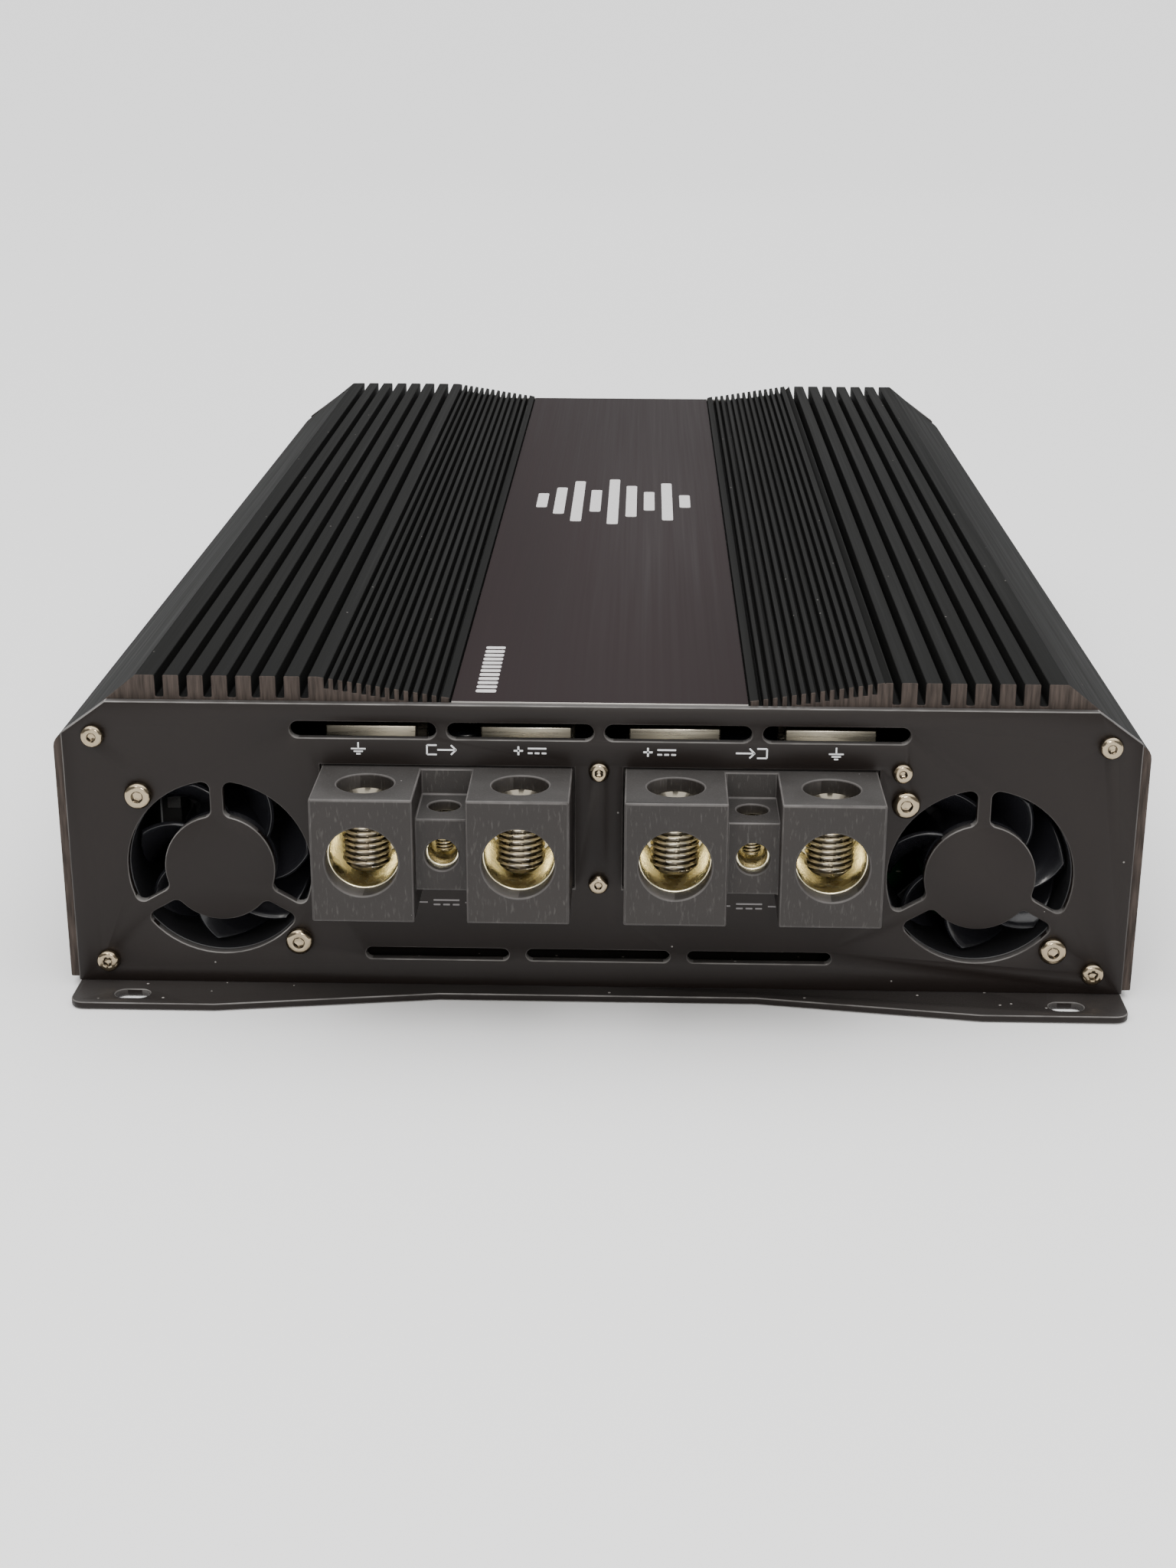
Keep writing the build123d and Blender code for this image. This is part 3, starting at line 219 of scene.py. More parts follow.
def block_plastic():
    """Glass-filled moulding: grey with short pale fibres and a fine eggshell."""
    f = Finish("block_plastic", (0.0205, 0.0172, 0.0158), 0.52, specular=0.3)
    fibres = f.noise(2200, 2, (1, 1, 0.22), (0.3, 0.5, 0.2))
    f.tint(f.ramp(fibres, 0.58, 0.76, 0, 0.6), (0.075, 0.069, 0.065))
    f.tint(f.ramp(f.noise(45, 3), 0.35, 0.75, 0, 0.5), (0.015, 0.0135, 0.0128))
    f.tint(f.specks(380, 0.07, 0.05), (0.26, 0.25, 0.24))
    # Every face that faces up is lightened towards pale grey, more in patches.
    up_lightening = f.ramp(f.noise(60, 3), 0.3, 0.7, 0.15, 0.4)
    f.tint(f.math("MULTIPLY", f.up(), up_lightening), (0.1, 0.097, 0.094))
    # Pale rounded edges: partly rubbed wear, partly a painted highlight.
    f.worn_and_highlit_edges(0.6, (0.16, 0.15, 0.145))
    shell = f.noise(3200, 2)
    f.rough(shell, 0.46, 0.58)
    f.bump(shell, 0.00003, 0.6)
    f.bump(f.noise(260, 2), 0.00004, 0.4)
    return f.material


def plated(name, colour, warm, roughness, turned_lines=True):
    """Bright plate over turned metal, slightly uneven in tone, with painted shade in its grooves and sockets.
    """
    f = Finish(name, colour, roughness, metallic=1.0)
    f.tint(f.ramp(f.noise(160, 3), 0.35, 0.75, 0, 0.7), warm)
    f.tint(f.ramp(f.noise(900, 3), 0.6, 0.85, 0, 0.5), tuple(0.45 * c for c in colour))
    f.rough(f.noise(500, 3), roughness * 0.75, roughness * 1.6)
    # Faces marked as grooves are darkened: painted shade in thread roots and hex-socket walls.
    f.tint(f.math("MULTIPLY", f.marked("painted_groove_shade"), 0.9), tuple(0.12 * c for c in warm))
    if turned_lines:
        f.bump(f.noise(5200, 1, (0.25, 1, 1)), 0.000012, 0.6)
    return f.material


def moulded(name, colour, roughness, grain=2400):
    """Plain moulded plastic with a fine grain and a slight cloudiness."""
    f = Finish(name, colour, roughness)
    f.tint(f.ramp(f.noise(60, 3), 0.35, 0.75, 0, 0.6), tuple(0.72 * c for c in colour))
    f.tint(f.specks(300, 0.05, 0.05), tuple(min(1.0, c + 0.12) for c in colour))
    fine = f.noise(grain, 2)
    f.rough(fine, roughness * 0.85, roughness * 1.15)
    f.bump(fine, 0.00002, 0.4)
    return f.material


def brushed_metal(name, colour, roughness, stretch=(1, 0.02, 1)):
    """Bare metal with fine lines along one axis."""
    f = Finish(name, colour, roughness, metallic=1.0)
    lines = f.noise(1800, 2, stretch)
    f.tint(f.ramp(lines, 0.35, 0.75, 0, 0.6), tuple(0.6 * c for c in colour))
    f.tint(f.ramp(f.noise(70, 3), 0.45, 0.8, 0, 0.5), tuple(0.75 * c for c in colour))
    f.rough(lines, roughness * 0.8, roughness * 1.3)
    f.bump(lines, 0.00001, 0.5)
    return f.material


def board_laminate():
    """Solder mask over copper tracks."""
    f = Finish("board_laminate", (0.012, 0.055, 0.028), 0.34)
    sockets = {"Vector": f.place, "Scale": 160.0, "Mortar Size": 0.03}
    tracks = f.node("ShaderNodeTexBrick", sockets, offset=0.37, squash=1.6).outputs["Fac"]
    f.tint(f.math("MULTIPLY", tracks, 0.75), (0.03, 0.12, 0.05))
    f.tint(f.specks(210, 0.16, 0.35), (0.5, 0.48, 0.42))
    f.bump(tracks, 0.00004, 0.6)
    return f.material


def enamelled_copper():
    """Winding wire under a thin clear enamel."""
    f = Finish("enamel_copper", (0.42, 0.13, 0.035), 0.24, metallic=0.75, coat=0.4)
    f.tint(f.ramp(f.noise(240, 3), 0.4, 0.7, 0, 0.6), (0.24, 0.07, 0.02))
    f.bump(f.noise(1400, 2), 0.00003, 0.4)
    return f.material


def lamp_lens():
    """A small blue lens, unlit."""
    f = Finish("lamp_lens", (0.08, 0.22, 0.6), 0.12, coat=0.5)
    f.tint(f.ramp(f.noise(700, 2), 0.4, 0.8, 0, 0.5), (0.2, 0.4, 0.8))
    f.bump(f.noise(900, 1), 0.00002, 0.3)
    return f.material


def print_ink(name, colour):
    """Screen-printed ink: flat, slightly broken at its edges."""
    f = Finish(name, colour, 0.5)
    f.tint(f.ramp(f.noise(1500, 3), 0.55, 0.75, 0, 0.35), tuple(0.6 * c for c in colour))
    f.bump(f.noise(2400, 2), 0.00001, 0.5)
    return f.material


nickel = (0.34, 0.285, 0.2)
gold = (1.0, 0.93, 0.68)
finishes = {
    "black_anodised": black_anodised(),
    "badge_film": badge_film(),
    "black_paint": black_paint("black_paint", 0.2),
    "base_paint": black_paint("base_paint", 0.07),
    "black_screw": brushed_metal("black_screw", (0.05, 0.05, 0.052), 0.35, (1, 1, 1)),
    "nickel_screw": plated("nickel_screw", nickel, (0.36, 0.28, 0.18), 0.13),
    "zinc_steel": brushed_metal("zinc_steel", (0.5, 0.5, 0.5), 0.34),
    "block_plastic": block_plastic(),
    "brass_plate": plated("brass_plate", gold, (0.88, 0.78, 0.5), 0.22),
    "set_screw_brass": plated("set_screw_brass", (0.9, 0.84, 0.7), (0.8, 0.7, 0.54), 0.27, False),
    "tinned_copper": brushed_metal("tinned_copper", (0.78, 0.72, 0.58), 0.28, (0.05, 1, 1)),
    "board_laminate": board_laminate(),
    "enamel_copper": enamelled_copper(),
    "lamp_lens": lamp_lens(),
}
mouldings = {
    "fan_plastic": ((0.012, 0.012, 0.0135), 0.42),
    "impeller_plastic": ((0.009, 0.009, 0.011), 0.2),
    "ferrite": ((0.035, 0.036, 0.038), 0.6, 900),
    "can_sleeve": ((0.012, 0.013, 0.02), 0.25),
    "insulator_film": ((0.32, 0.33, 0.34), 0.6),
    "package_epoxy": ((0.018, 0.018, 0.018), 0.5),
    "jack_plastic": ((0.018, 0.018, 0.018), 0.48),
    "jack_insulator": ((0.68, 0.67, 0.63), 0.35),
    "pot_plastic": ((0.05, 0.07, 0.1), 0.45),
    "knob_plastic": ((0.02, 0.02, 0.021), 0.5, 1500),
    "switch_plastic": ((0.6, 0.6, 0.57), 0.4),
}
finishes.update({name: moulded(name, *look) for name, look in mouldings.items()})
label_ink = print_ink("label_ink", (0.82, 0.83, 0.85))
silver_ink = print_ink("silver_ink", (0.62, 0.6, 0.6))

slot_of = {row["node"]: row["material_slot"] for row in frame["record"]["subparts"]}
bodies = frame["record"]["behaviour"]["bodies"]
body_of = {node: body for body, members in bodies.items() for node in members}


# --- mesh helpers
def place_piece(name, mesh, slot, body, stands_for=(), material=None):
    """Puts a finished mesh in the scene as a piece of one body."""
    mesh.materials.clear()
    mesh.materials.append(material or finishes[slot])
    piece = held(name, mesh)
    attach(piece, body)
    if stands_for:
        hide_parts(*stands_for)
    return piece


def as_mesh(name, bm):
    mesh = bpy.data.meshes.new(name)
    bm.to_mesh(mesh)
    bm.free()
    return mesh


def merged(node):
    """A CAD node's shape as connected faces, its flat areas joined up."""
    bm = bmesh.new()
    bm.from_mesh(nodes[node].data)
    bmesh.ops.remove_doubles(bm, verts=bm.verts, dist=WELD)
    bmesh.ops.dissolve_degenerate(bm, dist=WELD / 2, edges=bm.edges)
    flat = math.radians(0.7)
    bmesh.ops.dissolve_limit(bm, angle_limit=flat, verts=bm.verts, edges=bm.edges)
    return bm


def islands(node):
    """The lowest and highest corners of a CAD node's separate solids."""
    bm = bmesh.new()
    bm.from_mesh(nodes[node].data)
    bmesh.ops.remove_doubles(bm, verts=bm.verts, dist=WELD)
    seen, boxes = set(), []
    for start in bm.verts:
        if start in seen:
            continue
        seen.add(start)
        queue, points = [start], []
        while queue:
            vert = queue.pop()
            points.append(vert.co.copy())
            for edge in vert.link_edges:
                other = edge.other_vert(vert)
                if other not in seen:
                    seen.add(other)
                    queue.append(other)
        low = Vector([min(p[i] for p in points) for i in range(3)])
        high = Vector([max(p[i] for p in points) for i in range(3)])
        boxes.append((low, high))
    bm.free()
    return sorted(boxes, key=lambda b: (round(b[0].x, 4), round(b[0].y, 4), round(b[0].z, 4)))


def shade(mesh, smooth):
    """Smooth shading on curved faces and narrow roundings, flat shading on true flats.

    The narrow roundings are marked on the mesh as rounded. A sliver is a narrow strip of a flat."""
    gentle, coplanar = (0.4, 12), 0.05
    narrow, wide, tiny = 0.4 * MM, 2.5 * MM, 1e-9
    bm = bmesh.new()
    bm.from_mesh(mesh)
    rounded = bm.faces.layers.float.new("rounded")
    lengths = [max(edge.calc_length() for edge in face.edges) for face in bm.faces]
    widths = [face.calc_area() / max(length, tiny) for face, length in zip(bm.faces, lengths)]
    bm.faces.index_update()

    def beside_a_flat(face, edge):
        return any(widths[other.index] > narrow for other in edge.link_faces if other != face)

    for face, width in zip(bm.faces, widths):
        bends = [math.degrees(edge.calc_face_angle(0)) for edge in face.edges]
        curved = any(gentle[0] < bend < gentle[1] for bend in bends)
        sliver = any(bend < coplanar and beside_a_flat(face, edge) for bend, edge in zip(bends, face.edges))
        round_off = len(face.verts) < 5 and width < wide and (curved or width < narrow)
        face.smooth = round_off and not (sliver and width < narrow)
        face[rounded] = float(face.smooth and width < narrow and not sliver)
    bm.to_mesh(mesh)
    bm.free()
    mesh.set_sharp_from_angle(angle=math.radians(smooth))


def held(name, mesh):
    """An object in the scene for modifiers to work on."""
    holder = bpy.data.objects.new(name, mesh)
    bpy.context.scene.collection.objects.link(holder)
    return holder


def evaluated(holder, *helpers):
    """The plain mesh that an object's modifiers make. The object and its helpers are removed."""
    graph = bpy.context.evaluated_depsgraph_get()
    graph.update()
    result = bpy.data.meshes.new_from_object(holder.evaluated_get(graph))
    for used in (holder, *helpers):
        bpy.data.objects.remove(used)
    return result


def finished(name, mesh, bevel=0.0, segments=2, smooth=50):
    """Rounds a mesh's crisp edges with a Bevel and returns the plain result, shaded."""
    holder = held(name, mesh)
    if bevel:
        rounding = holder.modifiers.new("rounding", "BEVEL")
        rounding.width = bevel
        rounding.segments = segments
        rounding.limit_method = "ANGLE"
        rounding.angle_limit = math.radians(35)
        rounding.use_clamp_overlap = False
    result = evaluated(holder)
    result.name = name
    shade(result, smooth)
    return result


def soften(node, bevel, segments=2):
    """Stands in for a CAD node with its crisp edges rounded off a little."""
    name = node + "_finished"
    mesh = finished(name, as_mesh(name, merged(node)), bevel, segments)
    return place_piece(name, mesh, slot_of[node], body_of[node], [node])


def turned(rows, around=48, twist=None):
    """A closed solid of revolution about Z. Rows are (radius, height) from one pole to the other.

    A radius may be a function of the angle, and twist(radius, angle, height) may change it."""
    bm = bmesh.new()
    rings = []
    for radius, height in rows:
        if radius == 0:
            rings.append([bm.verts.new((0, 0, height))])
            continue
        ring = []
        for i in range(around):
            turn = 2 * math.pi * i / around
            r = radius(turn) if callable(radius) else radius
            r = twist(r, turn, height) if twist else r
            ring.append(bm.verts.new((r * math.cos(turn), r * math.sin(turn), height)))
        rings.append(ring)
    for below, above in zip(rings, rings[1:]):
        for i in range(around):
            j = (i + 1) % around
            lower = [below[i % len(below)], below[j % len(below)]]
            upper = [above[j % len(above)], above[i % len(above)]]
            bm.faces.new(list(dict.fromkeys(lower + upper)))
    bmesh.ops.recalc_face_normals(bm, faces=bm.faces)
    return bm


def hexagon(across_flats):
    """The radius of a hexagon at each angle. The nudge keeps each corner on one side of its wrap."""
    sixth, nudge = math.pi / 3, 1e-9
    return lambda turn: across_flats / 2 / math.cos((turn + nudge) % sixth - sixth / 2)


def joined(name, meshes):
    bm = bmesh.new()
    for mesh in meshes:
        bm.from_mesh(mesh)
    return as_mesh(name, bm)


# --- geometry node trees
SOCKETS = {int: "Int", float: "Float", tuple: "Vector"}


class Tree:
    """A Geometry Nodes tree with named inputs for its sizes."""

    def __init__(self, name, inputs):
        self.group = bpy.data.node_groups.new(name, "GeometryNodeTree")
        self.group.interface.new_socket("Geometry", in_out="INPUT", socket_type="NodeSocketGeometry")
        for key, kind in inputs.items():
            kind = SOCKETS.get(kind, kind)
            self.group.interface.new_socket(key, in_out="INPUT", socket_type="NodeSocket" + kind)
        self.group.interface.new_socket("Geometry", in_out="OUTPUT", socket_type="NodeSocketGeometry")
        self.start = self.group.nodes.new("NodeGroupInput")
        self.end = self.group.nodes.new("NodeGroupOutput")

    def node(self, kind, sockets=None, **settings):
        made = self.group.nodes.new(kind)
        for key, value in settings.items():
            setattr(made, key, value)
        for key, value in (sockets or {}).items():
            if isinstance(value, bpy.types.NodeSocket):
                self.group.links.new(value, made.inputs[key])
            else:
                made.inputs[key].default_value = value
        return made

    def input(self, name):
        return self.start.outputs[name]

    def close(self, geometry):
        """Realises the instances and gives them their material, as every tree here ends."""
        real = self.node("GeometryNodeRealizeInstances", {"Geometry": geometry}).outputs[0]
        done = self.node("GeometryNodeSetMaterial", {"Geometry": real, "Material": self.input("Finish")})
        self.group.links.new(done.outputs[0], self.end.inputs[0])
        return self

    def run(self, name, mesh=None, **values):
        """The plain mesh that the tree makes from a mesh and its inputs."""
        holder = held(name, mesh or bpy.data.meshes.new(name))
        growth = holder.modifiers.new("growth", "NODES")
        growth.node_group = self.group
        for item in self.group.interface.items_tree:
            if item.in_out == "INPUT" and item.name in values:
                growth[item.identifier] = values[item.name]
        result = evaluated(holder)
        result.name = name
        return result


def master(name, bm, bevel=0.0, smooth=40):
    """A pattern object outside the scene, which trees copy."""
    return bpy.data.objects.new(name, finished(name, as_mesh(name, bm), bevel, smooth=smooth))


def copies_at_points():
    """One copy of a pattern at each vertex, facing one way and spun by chance."""
    t = Tree("copies_at_points", {
        "Pattern": "Object", "Facing": tuple, "Spin": float, "Seed": int, "Finish": "Material"})
    pattern = t.node("GeometryNodeObjectInfo", {"Object": t.input("Pattern")}).outputs["Geometry"]
    sockets = {"Points": t.input("Geometry"), "Instance": pattern, "Rotation": t.input("Facing")}
    placed = t.node("GeometryNodeInstanceOnPoints", sockets)
    chance = t.node("FunctionNodeRandomValue", {"Min": 0.0, "Seed": t.input("Seed")}, data_type="FLOAT")
    floats = [s for s in chance.inputs if s.type == "VALUE" and s.name == "Max"][0]
    t.group.links.new(t.input("Spin"), floats)
    value = [s for s in chance.outputs if s.type == "VALUE"][0]
    spin = t.node("ShaderNodeCombineXYZ", {"Z": value}).outputs[0]
    sockets = {"Instances": placed.outputs[0], "Rotation": spin, "Local Space": True}
    return t.close(t.node("GeometryNodeRotateInstances", sockets).outputs[0])


def copies_around():
    """A ring of copies of a pattern about Z, each a little out of step."""
    t = Tree("copies_around", {
        "Pattern": "Object", "Count": int, "Jitter": float, "Seed": int, "Finish": "Material"})
    points = t.node("GeometryNodePoints", {"Count": t.input("Count")}).outputs[0]
    pattern = t.node("GeometryNodeObjectInfo", {"Object": t.input("Pattern")}).outputs["Geometry"]
    index = t.node("GeometryNodeInputIndex").outputs[0]
    share = t.node("ShaderNodeMath", {0: index, 1: t.input("Count")}, operation="DIVIDE").outputs[0]
    turn = t.node("ShaderNodeMath", {0: share, 1: 2 * math.pi}, operation="MULTIPLY").outputs[0]
    chance = t.node("FunctionNodeRandomValue", {"Seed": t.input("Seed")}, data_type="FLOAT")
    value = [s for s in chance.outputs if s.type == "VALUE"][0]
    stray = t.node("ShaderNodeMath", {0: value, 1: t.input("Jitter")}, operation="MULTIPLY").outputs[0]
    turn = t.node("ShaderNodeMath", {0: turn, 1: stray}, operation="ADD").outputs[0]
    rotation = t.node("ShaderNodeCombineXYZ", {"Z": turn}).outputs[0]
    sockets = {"Points": points, "Instance": pattern, "Rotation": rotation}
    return t.close(t.node("GeometryNodeInstanceOnPoints", sockets).outputs[0])


def drawn_section():
    """A flat section drawn out to a length along Y, both rims chamfered along its inward directions."""
    t = Tree("drawn_section", {"Length": float, "Chamfer": float, "Finish": "Material"})
    section = t.input("Geometry")
    marked = t.node("GeometryNodeInputNamedAttribute", {"Name": "inward"}, data_type="FLOAT_VECTOR")
    chamfer = t.node("ShaderNodeCombineXYZ", {axis: t.input("Chamfer") for axis in range(3)}).outputs[0]
    step = t.node("ShaderNodeVectorMath", {0: marked.outputs[0], 1: chamfer}, operation="MULTIPLY").outputs[0]

    def drawn_out(mesh, direction, distance, chosen=None):
        sockets = {"Mesh": mesh, "Offset": direction, "Offset Scale": distance, "Individual": False}
        if chosen:
            sockets["Selection"] = chosen
        return t.node("GeometryNodeExtrudeMesh", sockets, mode="FACES")

    def rim(extrusion):
        sockets = {"Geometry": extrusion.outputs["Mesh"], "Selection": extrusion.outputs["Top"]}
        return t.node("GeometryNodeSetPosition", {**sockets, "Offset": step}).outputs[0]

    rearward, forward = tuple(REARWARD), tuple(-REARWARD)
    walls = drawn_out(section, rearward, t.input("Length"))
    far = rim(drawn_out(walls.outputs["Mesh"], rearward, t.input("Chamfer"), walls.outputs["Top"]))
    turned_round = t.node("GeometryNodeFlipFaces", {"Mesh": section}).outputs[0]
    near = rim(drawn_out(turned_round, forward, t.input("Chamfer")))
    both = t.node("GeometryNodeJoinGeometry")
    for end in (far, near):
        t.group.links.new(end, both.inputs[0])
    closed = t.node("GeometryNodeMergeByDistance", {"Geometry": both.outputs[0], "Distance": 1e-6}).outputs[0]
    return t.close(closed)


at_points = copies_at_points()
around = copies_around()
drawn = drawn_section()


def at_places(name, pattern, places, facing, slot, seed):
    """The mesh of a pattern at each place, spun by chance."""
    points = bpy.data.meshes.new(name + "_places")
    points.from_pydata([tuple(p) for p in places], [], [])
    return at_points.run(
        name, points, Pattern=pattern, Facing=facing, Spin=2 * math.pi, Seed=seed, Finish=finishes[slot])


def ring_of(name, pattern, count, slot, jitter=0.0, seed=1):
    """The mesh of a ring of copies of a pattern about Z."""
    return around.run(name, Pattern=pattern, Count=count, Jitter=jitter, Seed=seed, Finish=finishes[slot])


# --- heatsink
panel_face, panel_gap = -180.0, 2.0
half_width = 112.0
crest = 68.5
shoulder_z, crest_half, shoulder_round = 54.3, 94.2, 3.0
slope_start, slope_end, slope_low = 57.3, 30.4, 64.3
badge_floor = 62.7
deep_first, deep_pitch, deep_width, deep_depth, deep_count = 59.9, 4.93, 1.7, 4.6, 7
fine_first, fine_pitch, fine_width, fine_depth, fine_count = 32.6, 1.9, 0.95, 2.2, 13
crest_round, root_round = 0.28, 0.4
wall_foot, foot_inner, foot_top = 1.5, 103.5, 8.0
wall_inner, wall_top = 107.5, 50.0
rail_inner, rail_low, rail_high = 101.0, 13.0, 38.0
roof_edge, roof_low = 97.0, 60.2


def heatsink_outline():
    """Half of the extrusion's section from the badge recess outwards and round: (x, z, corner radius)."""
    points = [(slope_end, badge_floor, 0.1), (slope_end, slope_low, 0.15)]
    fall = (crest - slope_low) / (slope_start - slope_end)
    for i in range(fine_count):
        low, high = (fine_first + i * fine_pitch + s * fine_width / 2 for s in (-1, 1))
        floor = slope_low + fall * ((low + high) / 2 - slope_end) - fine_depth
        points += [(low, min(crest, slope_low + fall * (low - slope_end)), 0.16), (low, floor, 0.2)]
        points += [(high, floor, 0.2), (high, min(crest, slope_low + fall * (high - slope_end)), 0.16)]
    points.append((slope_start, crest, 0.2))
    for i in range(deep_count):
        low, high = (deep_first + i * deep_pitch + s * deep_width / 2 for s in (-1, 1))
        points += [(low, crest, crest_round), (low, crest - deep_depth, root_round)]
        points += [(high, crest - deep_depth, root_round), (high, crest, crest_round)]
    points += [(crest_half, crest, 0.5), (half_width, shoulder_z, shoulder_round)]
    points += [(half_width, wall_foot, 0.3), (foot_inner, wall_foot, 0.3)]
    points += [(foot_inner, foot_top, 0.5), (wall_inner, foot_top, 0.5)]
    points += [(wall_inner, rail_low, 0.5), (rail_inner, rail_low, 0.3)]
    points += [(rail_inner, rail_high, 0.3), (wall_inner, rail_high, 0.5)]
    points += [(wall_inner, wall_top, 0.5), (roof_edge, roof_low, 0.5)]
    return points


def rounded_line(points, steps=3):
    """The points with each corner turned into a short arc, as far as its sides allow."""
    line, nearly_straight = [], math.pi - 0.02
    for i, (x, z, radius) in enumerate(points):
        here = Vector((x, z))
        before = Vector(points[i - 1][:2]) if i else None
        after = Vector(points[i + 1][:2]) if i + 1 < len(points) else None
        if before is None or after is None or radius == 0:
            line.append(here)
            continue
        a, b = (before - here), (after - here)
        corner = a.angle(b)
        reach = min(radius / math.tan(corner / 2), 0.45 * a.length, 0.45 * b.length)
        if corner > nearly_straight:
            line.append(here)
            continue
        start, end = here + a.normalized() * reach, here + b.normalized() * reach
        for s in range(steps + 1):
            t = s / steps
            line.append(start * (1 - t) ** 2 + here * 2 * t * (1 - t) + end * t * t)
    return line


def make_heatsink():
    """The extrusion: its mirrored section, drawn out between the two end panels."""
    half = rounded_line(heatsink_outline())
    loop = half + [Vector((-p.x, p.y)) for p in reversed(half)]
    chamfer, start = 0.12, panel_face + panel_gap
    edges = [(i, (i + 1) % len(loop)) for i in range(len(loop))]
    points, _, faces, origins, _, _ = delaunay_2d_cdt(loop, edges, [list(range(len(loop)))], 1, 1e-7)
    order = [origin[0] for origin in origins]
    inward = []
    for i, here in enumerate(loop):
        along = (here - loop[i - 1]).normalized() + (loop[(i + 1) % len(loop)] - here).normalized()
        inward.append(Vector((along.y, -along.x)).normalized())
    area = sum(a.x * b.y - b.x * a.y for a, b in zip(loop, loop[1:] + loop[:1]))
    if area > 0:
        inward = [-v for v in inward]
    mesh = bpy.data.meshes.new("heatsink_section")
    mesh.from_pydata([(p.x * MM, (start + chamfer) * MM, p.y * MM) for p in points], [], faces)
    directions = mesh.attributes.new("inward", "FLOAT_VECTOR", "POINT")
    for i, origin in enumerate(order):
        directions.data[i].vector = (inward[origin].x, 0, inward[origin].y)
    mesh.update()
    if mesh.polygons[0].normal.y < 0:
        mesh.flip_normals()
    mesh = drawn.run(
        "heatsink_drawn", mesh, Length=-2 * (start + chamfer) * MM, Chamfer=chamfer * MM,
        Finish=finishes["black_anodised"])
    mesh.attributes.remove(mesh.attributes["inward"])
    mesh = finished("heatsink", mesh, smooth=38)
    place_piece("heatsink", mesh, "black_anodised", "chassis", ["heatsink_extrusion"])


make_heatsink()
soften("badge_plate", 0.12 * MM)
for node in ("front_panel", "rear_panel", "base_plate"):
    soften(node, 0.22 * MM)
soften("terminal_bracket", 0.15 * MM)


# --- fasteners
DOME = ((0.62, 1), (0.76, 0.955), (0.88, 0.83), (0.965, 0.6), (1, 0.32))


def button_head(radius, height, hex_size, depth, shank, length):
    """A button head with a hex socket, its underside at z = 0, on its shank."""
    hexed = hexagon(hex_size)
    lead, drill_point, foot = 0.12, 0.25, 0.1
    rows = [(0, height - depth - drill_point), (hexed, height - depth), (hexed, height - lead)]
    rows.append((hex_size / 2 / math.cos(math.pi / 6) + lead, height))
    rows += [(out * radius, up * height) for out, up in DOME]
    rows += [(radius, foot), (radius - foot, 0)]
    rows += [(shank, 0), (shank, -length + shank / 2), (shank / 2, -length), (0, -length)]
    bm = turned(rows)
    # Marks the hex socket's walls for painted shade.
    painted_groove_shade = bm.faces.layers.float.new("painted_groove_shade")
    for face in bm.faces:
        middle = face.calc_center_median()
        in_socket = height - depth < middle.z < height and middle.xy.length < hex_size * 0.62
        face[painted_groove_shade] = float(in_socket)
    return bm


def scaled(bm):
    """The same shape, from millimetres to metres."""
    bm.transform(Matrix.Scale(MM, 4))
    return bm


UPRIGHT = (0, 0, 0)


def make_fasteners(node, head, hex_size, depth, shank, length, seed):
    """All the screws of one node, each head where the CAD screw has it, on the front or rear panel.

    A head is (radius, height), with a hex socket so wide and deep, and a shank so thick and long."""
    shape = scaled(button_head(*head, hex_size, depth, shank, length))
    pattern = master(node + "_pattern", shape, smooth=30)
    slot, meshes, boxes = slot_of[node], [], islands(node)
    for way in (-1, 1):
        places = []
        for low, high in boxes:
            middle = (low + high) / 2
            if middle.y * way > 0:
                middle.y = (high.y if way > 0 else low.y) - way * head[1] * MM
                places.append(middle)
        if places:
            outward = (math.radians(-90 * way), 0, 0)
            meshes.append(at_places(node + "_made", pattern, places, outward, slot, seed))
    mesh = meshes[0] if len(meshes) == 1 else joined(node + "_made", meshes)
    mesh.polygons.foreach_set("use_smooth", [True] * len(mesh.polygons))
    mesh.set_sharp_from_angle(angle=math.radians(32))
    place_piece(node + "_made", mesh, slot, "chassis", [node])


SCREWS = {
    "panel_corner_screws": dict(head=(2.4, 1.5), hex_size=1.5, depth=1.0, shank=1.23, length=7, seed=3),
    "fan_screws": dict(head=(2.9, 1.7), hex_size=2.0, depth=1.1, shank=1.48, length=9, seed=11),
    "terminal_bracket_screws": dict(head=(2.1, 1.3), hex_size=1.3, depth=0.8, shank=0.98, length=6, seed=5),
}
for node, sizes in SCREWS.items():
    make_fasteners(node, **sizes)


